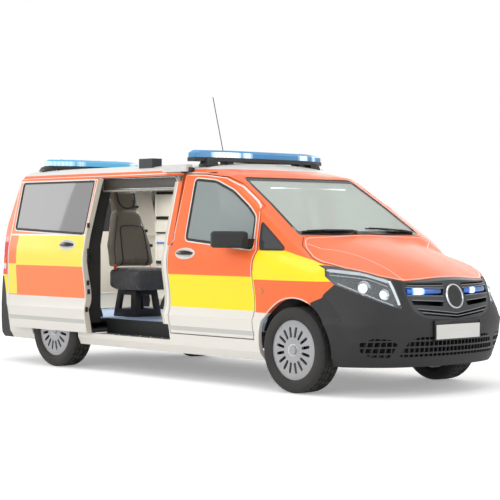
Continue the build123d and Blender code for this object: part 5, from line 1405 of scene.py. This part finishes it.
plate("doorway_header", (-1.060, -0.735, 1.628), (0.060, -0.640, 1.790), (0.010, 2), pale_trim, "body",
      face=(0, 1, 0), rim=0.012)
slot_outline = softened([(-1.030, 1.650), (0.040, 1.650), (0.040, 1.745), (-1.030, 1.745)], 0.045)
near = [Vector((a, -0.7385, b)) for a, b in slot_outline]
deep = [Vector((-0.49 + (a + 0.49) * 0.985, -0.7385, 1.711 + (b - 1.711) * 0.86)) for a, b in slot_outline]
deeper = [Vector((-0.49 + (a + 0.49) * 0.975, -0.7362, 1.711 + (b - 1.711) * 0.80)) for a, b in slot_outline]
middle = [Vector((-0.49 + (a + 0.49) * 0.05, -0.7362, 1.711)) for a, b in slot_outline]
done(thickened(draped("header_slot", [near, deep, deeper, middle], True), 0.003), slot_shade)
bead("header_slot_rim", [p + Vector((0, -0.003, 0)) for p in near + near[:1]], 0.006, bright, sides=8)
LEAN_FROM, LEAN_OVER, LEAN = 1.15, 0.6, 0.145


def leaned(y, z):
    """How far out the body side leaves a piece at a height: it leans in above the belt line."""
    return y + LEAN * max(0.0, (z - LEAN_FROM) / LEAN_OVER)


frame_rows = []
for y in (-0.925, -0.905, -0.785, -0.765):
    frame_rows.append([Vector((-1.052 + 0.02 * (y > -0.8), leaned(y, z), z))
                       for z in [0.430 + 1.29 * i / 20 for i in range(21)]])
done(thickened(draped("doorway_rear_frame", frame_rows), 0.006), seal_rubber, smooth=50)
for number, z in enumerate((0.62, 1.02, 1.42)):
    plate("frame_plate_%d" % number, (-1.049, leaned(-0.885, z), z - 0.055),
          (-1.040, leaned(-0.850, z), z + 0.055), (0.002, 2), steel, "body",
          face=(1, 0, 0), rim=0.007, push=(-0.003, 0, 0))

# Locker front on the left wall: shelf bars, a blue band and dark sockets
wall_y = 0.690
plate("wall_locker_front", (-2.010, wall_y - 0.020, 0.560), (-1.500, wall_y + 0.030, 1.700), (0.003, 2),
      cabinet_finish, "body", face=(0, -1, 0), rim=0.020, push=(0, 0.010, 0))
for number, (z, tall) in enumerate(((1.655, 0.013), (1.402, 0.016), (1.251, 0.007), (0.948, 0.016), (0.700, 0.012))):
    plate("locker_bar_%d" % number, (-1.978, wall_y - 0.028, z - tall), (-1.510, wall_y - 0.008, z + tall),
          (0.004, 2), black_plastic)
plate("locker_band", (-1.978, wall_y - 0.020, 1.140), (-1.510, wall_y - 0.008, 1.154), (0.003, 2), blue_trim, "body")
for number, (x, z, half) in enumerate(((-1.580, 1.455, 0.035), (-1.765, 1.200, 0.028), (-1.560, 1.330, 0.028))):
    plate("locker_socket_%d" % number, (x - half, wall_y - 0.020, z - half), (x + half, wall_y - 0.006, z + half),
          (0.003, 2), black_plastic, face=(0, -1, 0), rim=half * 0.35, push=(0, 0.006, 0))

# Seat stand: a tapered frame with a window in each side
stand = block("seat_stand", (-1.235, -0.460, 0.470), (-0.905, -0.140, 0.742))
pick(stand, lambda c, n: n.z > 0.9)
bpy.ops.transform.resize(value=(0.80, 0.80, 1.0), center_override=(-1.070, -0.300, 0.742))
mode("OBJECT")
pick(stand, lambda c, n: abs(n.z) < 0.5)
bpy.ops.mesh.inset(thickness=0.070, use_individual=True)
bpy.ops.mesh.delete(type="FACE")
mode("OBJECT")
walls = stand.modifiers.new("walls", "SOLIDIFY")
walls.thickness = 0.026
walls.offset = -1
bpy.context.view_layer.objects.active = stand
bpy.ops.object.modifier_apply(modifier="walls")
round_off(stand, 0.006, 2)
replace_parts(done(stand, pedestal_finish, "body"), "seat_pedestal")

# Sill cover inside the tailgate
plate("tail_sill_cover", (-2.322, -0.700, 0.472), (-2.300, 0.700, 0.640), (0.004, 2), cabinet_finish, "body",
      face=(1, 0, 0), rim=0.016, push=(-0.005, 0, 0))

# Step edge and its screws
plate("step_edge_strip", (-0.640, -0.912, 0.330), (0.100, -0.884, 0.344), (0.004, 2), seal_rubber)
for number in range(5):
    x = -0.58 + 0.15 * number
    knob("step_screw_%d" % number, [(0.0, 0, 0.0075), (0.003, 0, 0.007), (0.0045, 0, 0.004), (0.005, 0, 0.0)], 16,
         seated((x, -0.898, 0.3435), Vector((0, 0, 1)), "Y"),
         bright)

# ---- Back: tail lamps, tailgate handle, wiper and bumper reflectors

for side, name in SIDES:
    for tag, z_low, z_high, finish in (("reverse", 0.905, 0.955, lamp_clear_cells), ("indicator", 0.965, 1.010,
                                                                                   amber_lamp)):
        band("tail_%s_%s" % (tag, name), [(-2.400, z_low), (-2.390, z_high)], -0.050, 0.050, ("tail_lamps",), name,
             finish, "body", "lamp_red", False, 0.003, 0.01, 0.0)
    # The reflectors take the glowing tail-lamp finish, so they glow though they are no lamps: a painted glint.
    plate("rear_reflector_" + name, (-0.002, -0.075, -0.020), (0.005, 0.075, 0.020), (0.002, 2), red_lamp, "body",
          face=(1, 0, 0), rim=0.004, push=(-0.002, 0, 0),
          seat=on_panel(side * 0.70, 0.380, ("rear_bumper",), "back"))
plate("tailgate_handle", (-0.004, -0.300, -0.030), (0.020, 0.300, 0.026), (0.006, 3), black_gloss, "tailgate",
      face=(0, 0, -1), rim=0.006, push=(0, 0, 0.014), seat=on_panel(0.0, 1.060, ("tailgate",), "back"))
plate("high_stop_lamp", (-0.004, -0.160, -0.010), (0.010, 0.160, 0.010), (0.003, 2), red_lamp, "tailgate",
      face=(1, 0, 0), rim=0.003, push=(-0.002, 0, 0), seat=on_panel(0.0, 1.755, ("tailgate",), "back"))
arm = [laid_one(y, z, ("tailgate_glass", "tailgate"), "back", lift) for y, z, lift in
       ((0.0, 1.235, 0.022), (0.12, 1.262, 0.022), (0.30, 1.292, 0.016), (0.46, 1.310, 0.014))]
bead("rear_wiper_arm", arm, 0.008, black_plastic, "tailgate", sides=8)
blade = [laid_one(0.16 + 0.42 * i / 8, 1.285 + 0.030 * i / 8, ("tailgate_glass",), "back", 0.007) for i in range(9)]
bead("rear_wiper_blade", met(blade), 0.006, seal_rubber, "tailgate")
knob("rear_wiper_hub", [(-0.004, 0, 0.026), (0.022, 0, 0.024), (0.030, 0, 0.014), (0.031, 0, 0.0)], 28,
     on_panel(0.0, 1.235, ("tailgate", "tailgate_glass"), "back"), black_plastic, "tailgate")
tail_edge = [(-0.700, 1.792), (0.700, 1.792), (0.800, 1.500), (0.856, 1.200), (0.866, 0.850), (0.850, 0.600),
             (-0.850, 0.600), (-0.866, 0.850), (-0.856, 1.200), (-0.800, 1.500)]
pale_line("tailgate_edge_line", tail_edge, -0.020, -0.010, ("tailgate",), "back", "tailgate")

# Fuel flap and panel joint on the left side
flap = softened([(-0.03, 0.870), (0.13, 0.870), (0.13, 1.030), (-0.03, 1.030)], 0.03)
band("fuel_flap_joint", [(a - 0.30, b) for a, b in flap], -0.003, 0.003, ("side_left",), "left", black_plastic,
     corner=0.02)
left_joint = [(-1.072, 0.360), (-1.072, 1.740), (0.150, 1.740), (0.130, 1.192), (0.130, 1.146), (0.152, 0.638),
              (0.152, 0.360)]
band("left_wall_joint", left_joint, -0.0035, 0.0035, ("side_left", "side_windows"), "left", seam_shade, corner=0.02)

# Instrument hood, wheel hub, screen and inside mirror
hood = [Vector((1.16, 0.45 + 0.20 * math.cos(t), 1.150 + 0.045 * math.sin(t)))
        for t in [math.pi * i / 12 for i in range(13)]]
rows = [[p + Vector((0.02 * k, 0, 0.006 * math.sin(math.pi * k / 4))) for p in hood] for k in range(5)]
done(thickened(draped("instrument_hood", rows), 0.006), black_plastic, smooth=50)
knob("steering_pad", [(-0.012, 0, 0.070), (0.010, 0, 0.074), (0.024, 0, 0.062), (0.030, 0, 0.030), (0.031, 0, 0.0)],
     32, seated((0.985, 0.450, 1.100), Vector((-0.80, 0, 0.60))), black_plastic)
plate("centre_screen", (1.150, -0.110, 1.050), (1.172, 0.110, 1.180), (0.004, 2), black_gloss,
      face=(-1, 0, 0), rim=0.010, push=(0.004, 0, 0))
plate("inside_mirror", (0.900, -0.125, 1.560), (0.930, 0.125, 1.625), (0.010, 3), black_plastic, face=(-1, 0, 0),
      rim=0.006)
stalk = [Vector((0.925, 0, 1.600)), Vector((0.945, 0, 1.620)), laid_one(0.0, 1.630, ("windscreen",), "front", -0.008)]
bead("inside_mirror_stalk", stalk, 0.009, black_plastic, sides=8)

low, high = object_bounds()
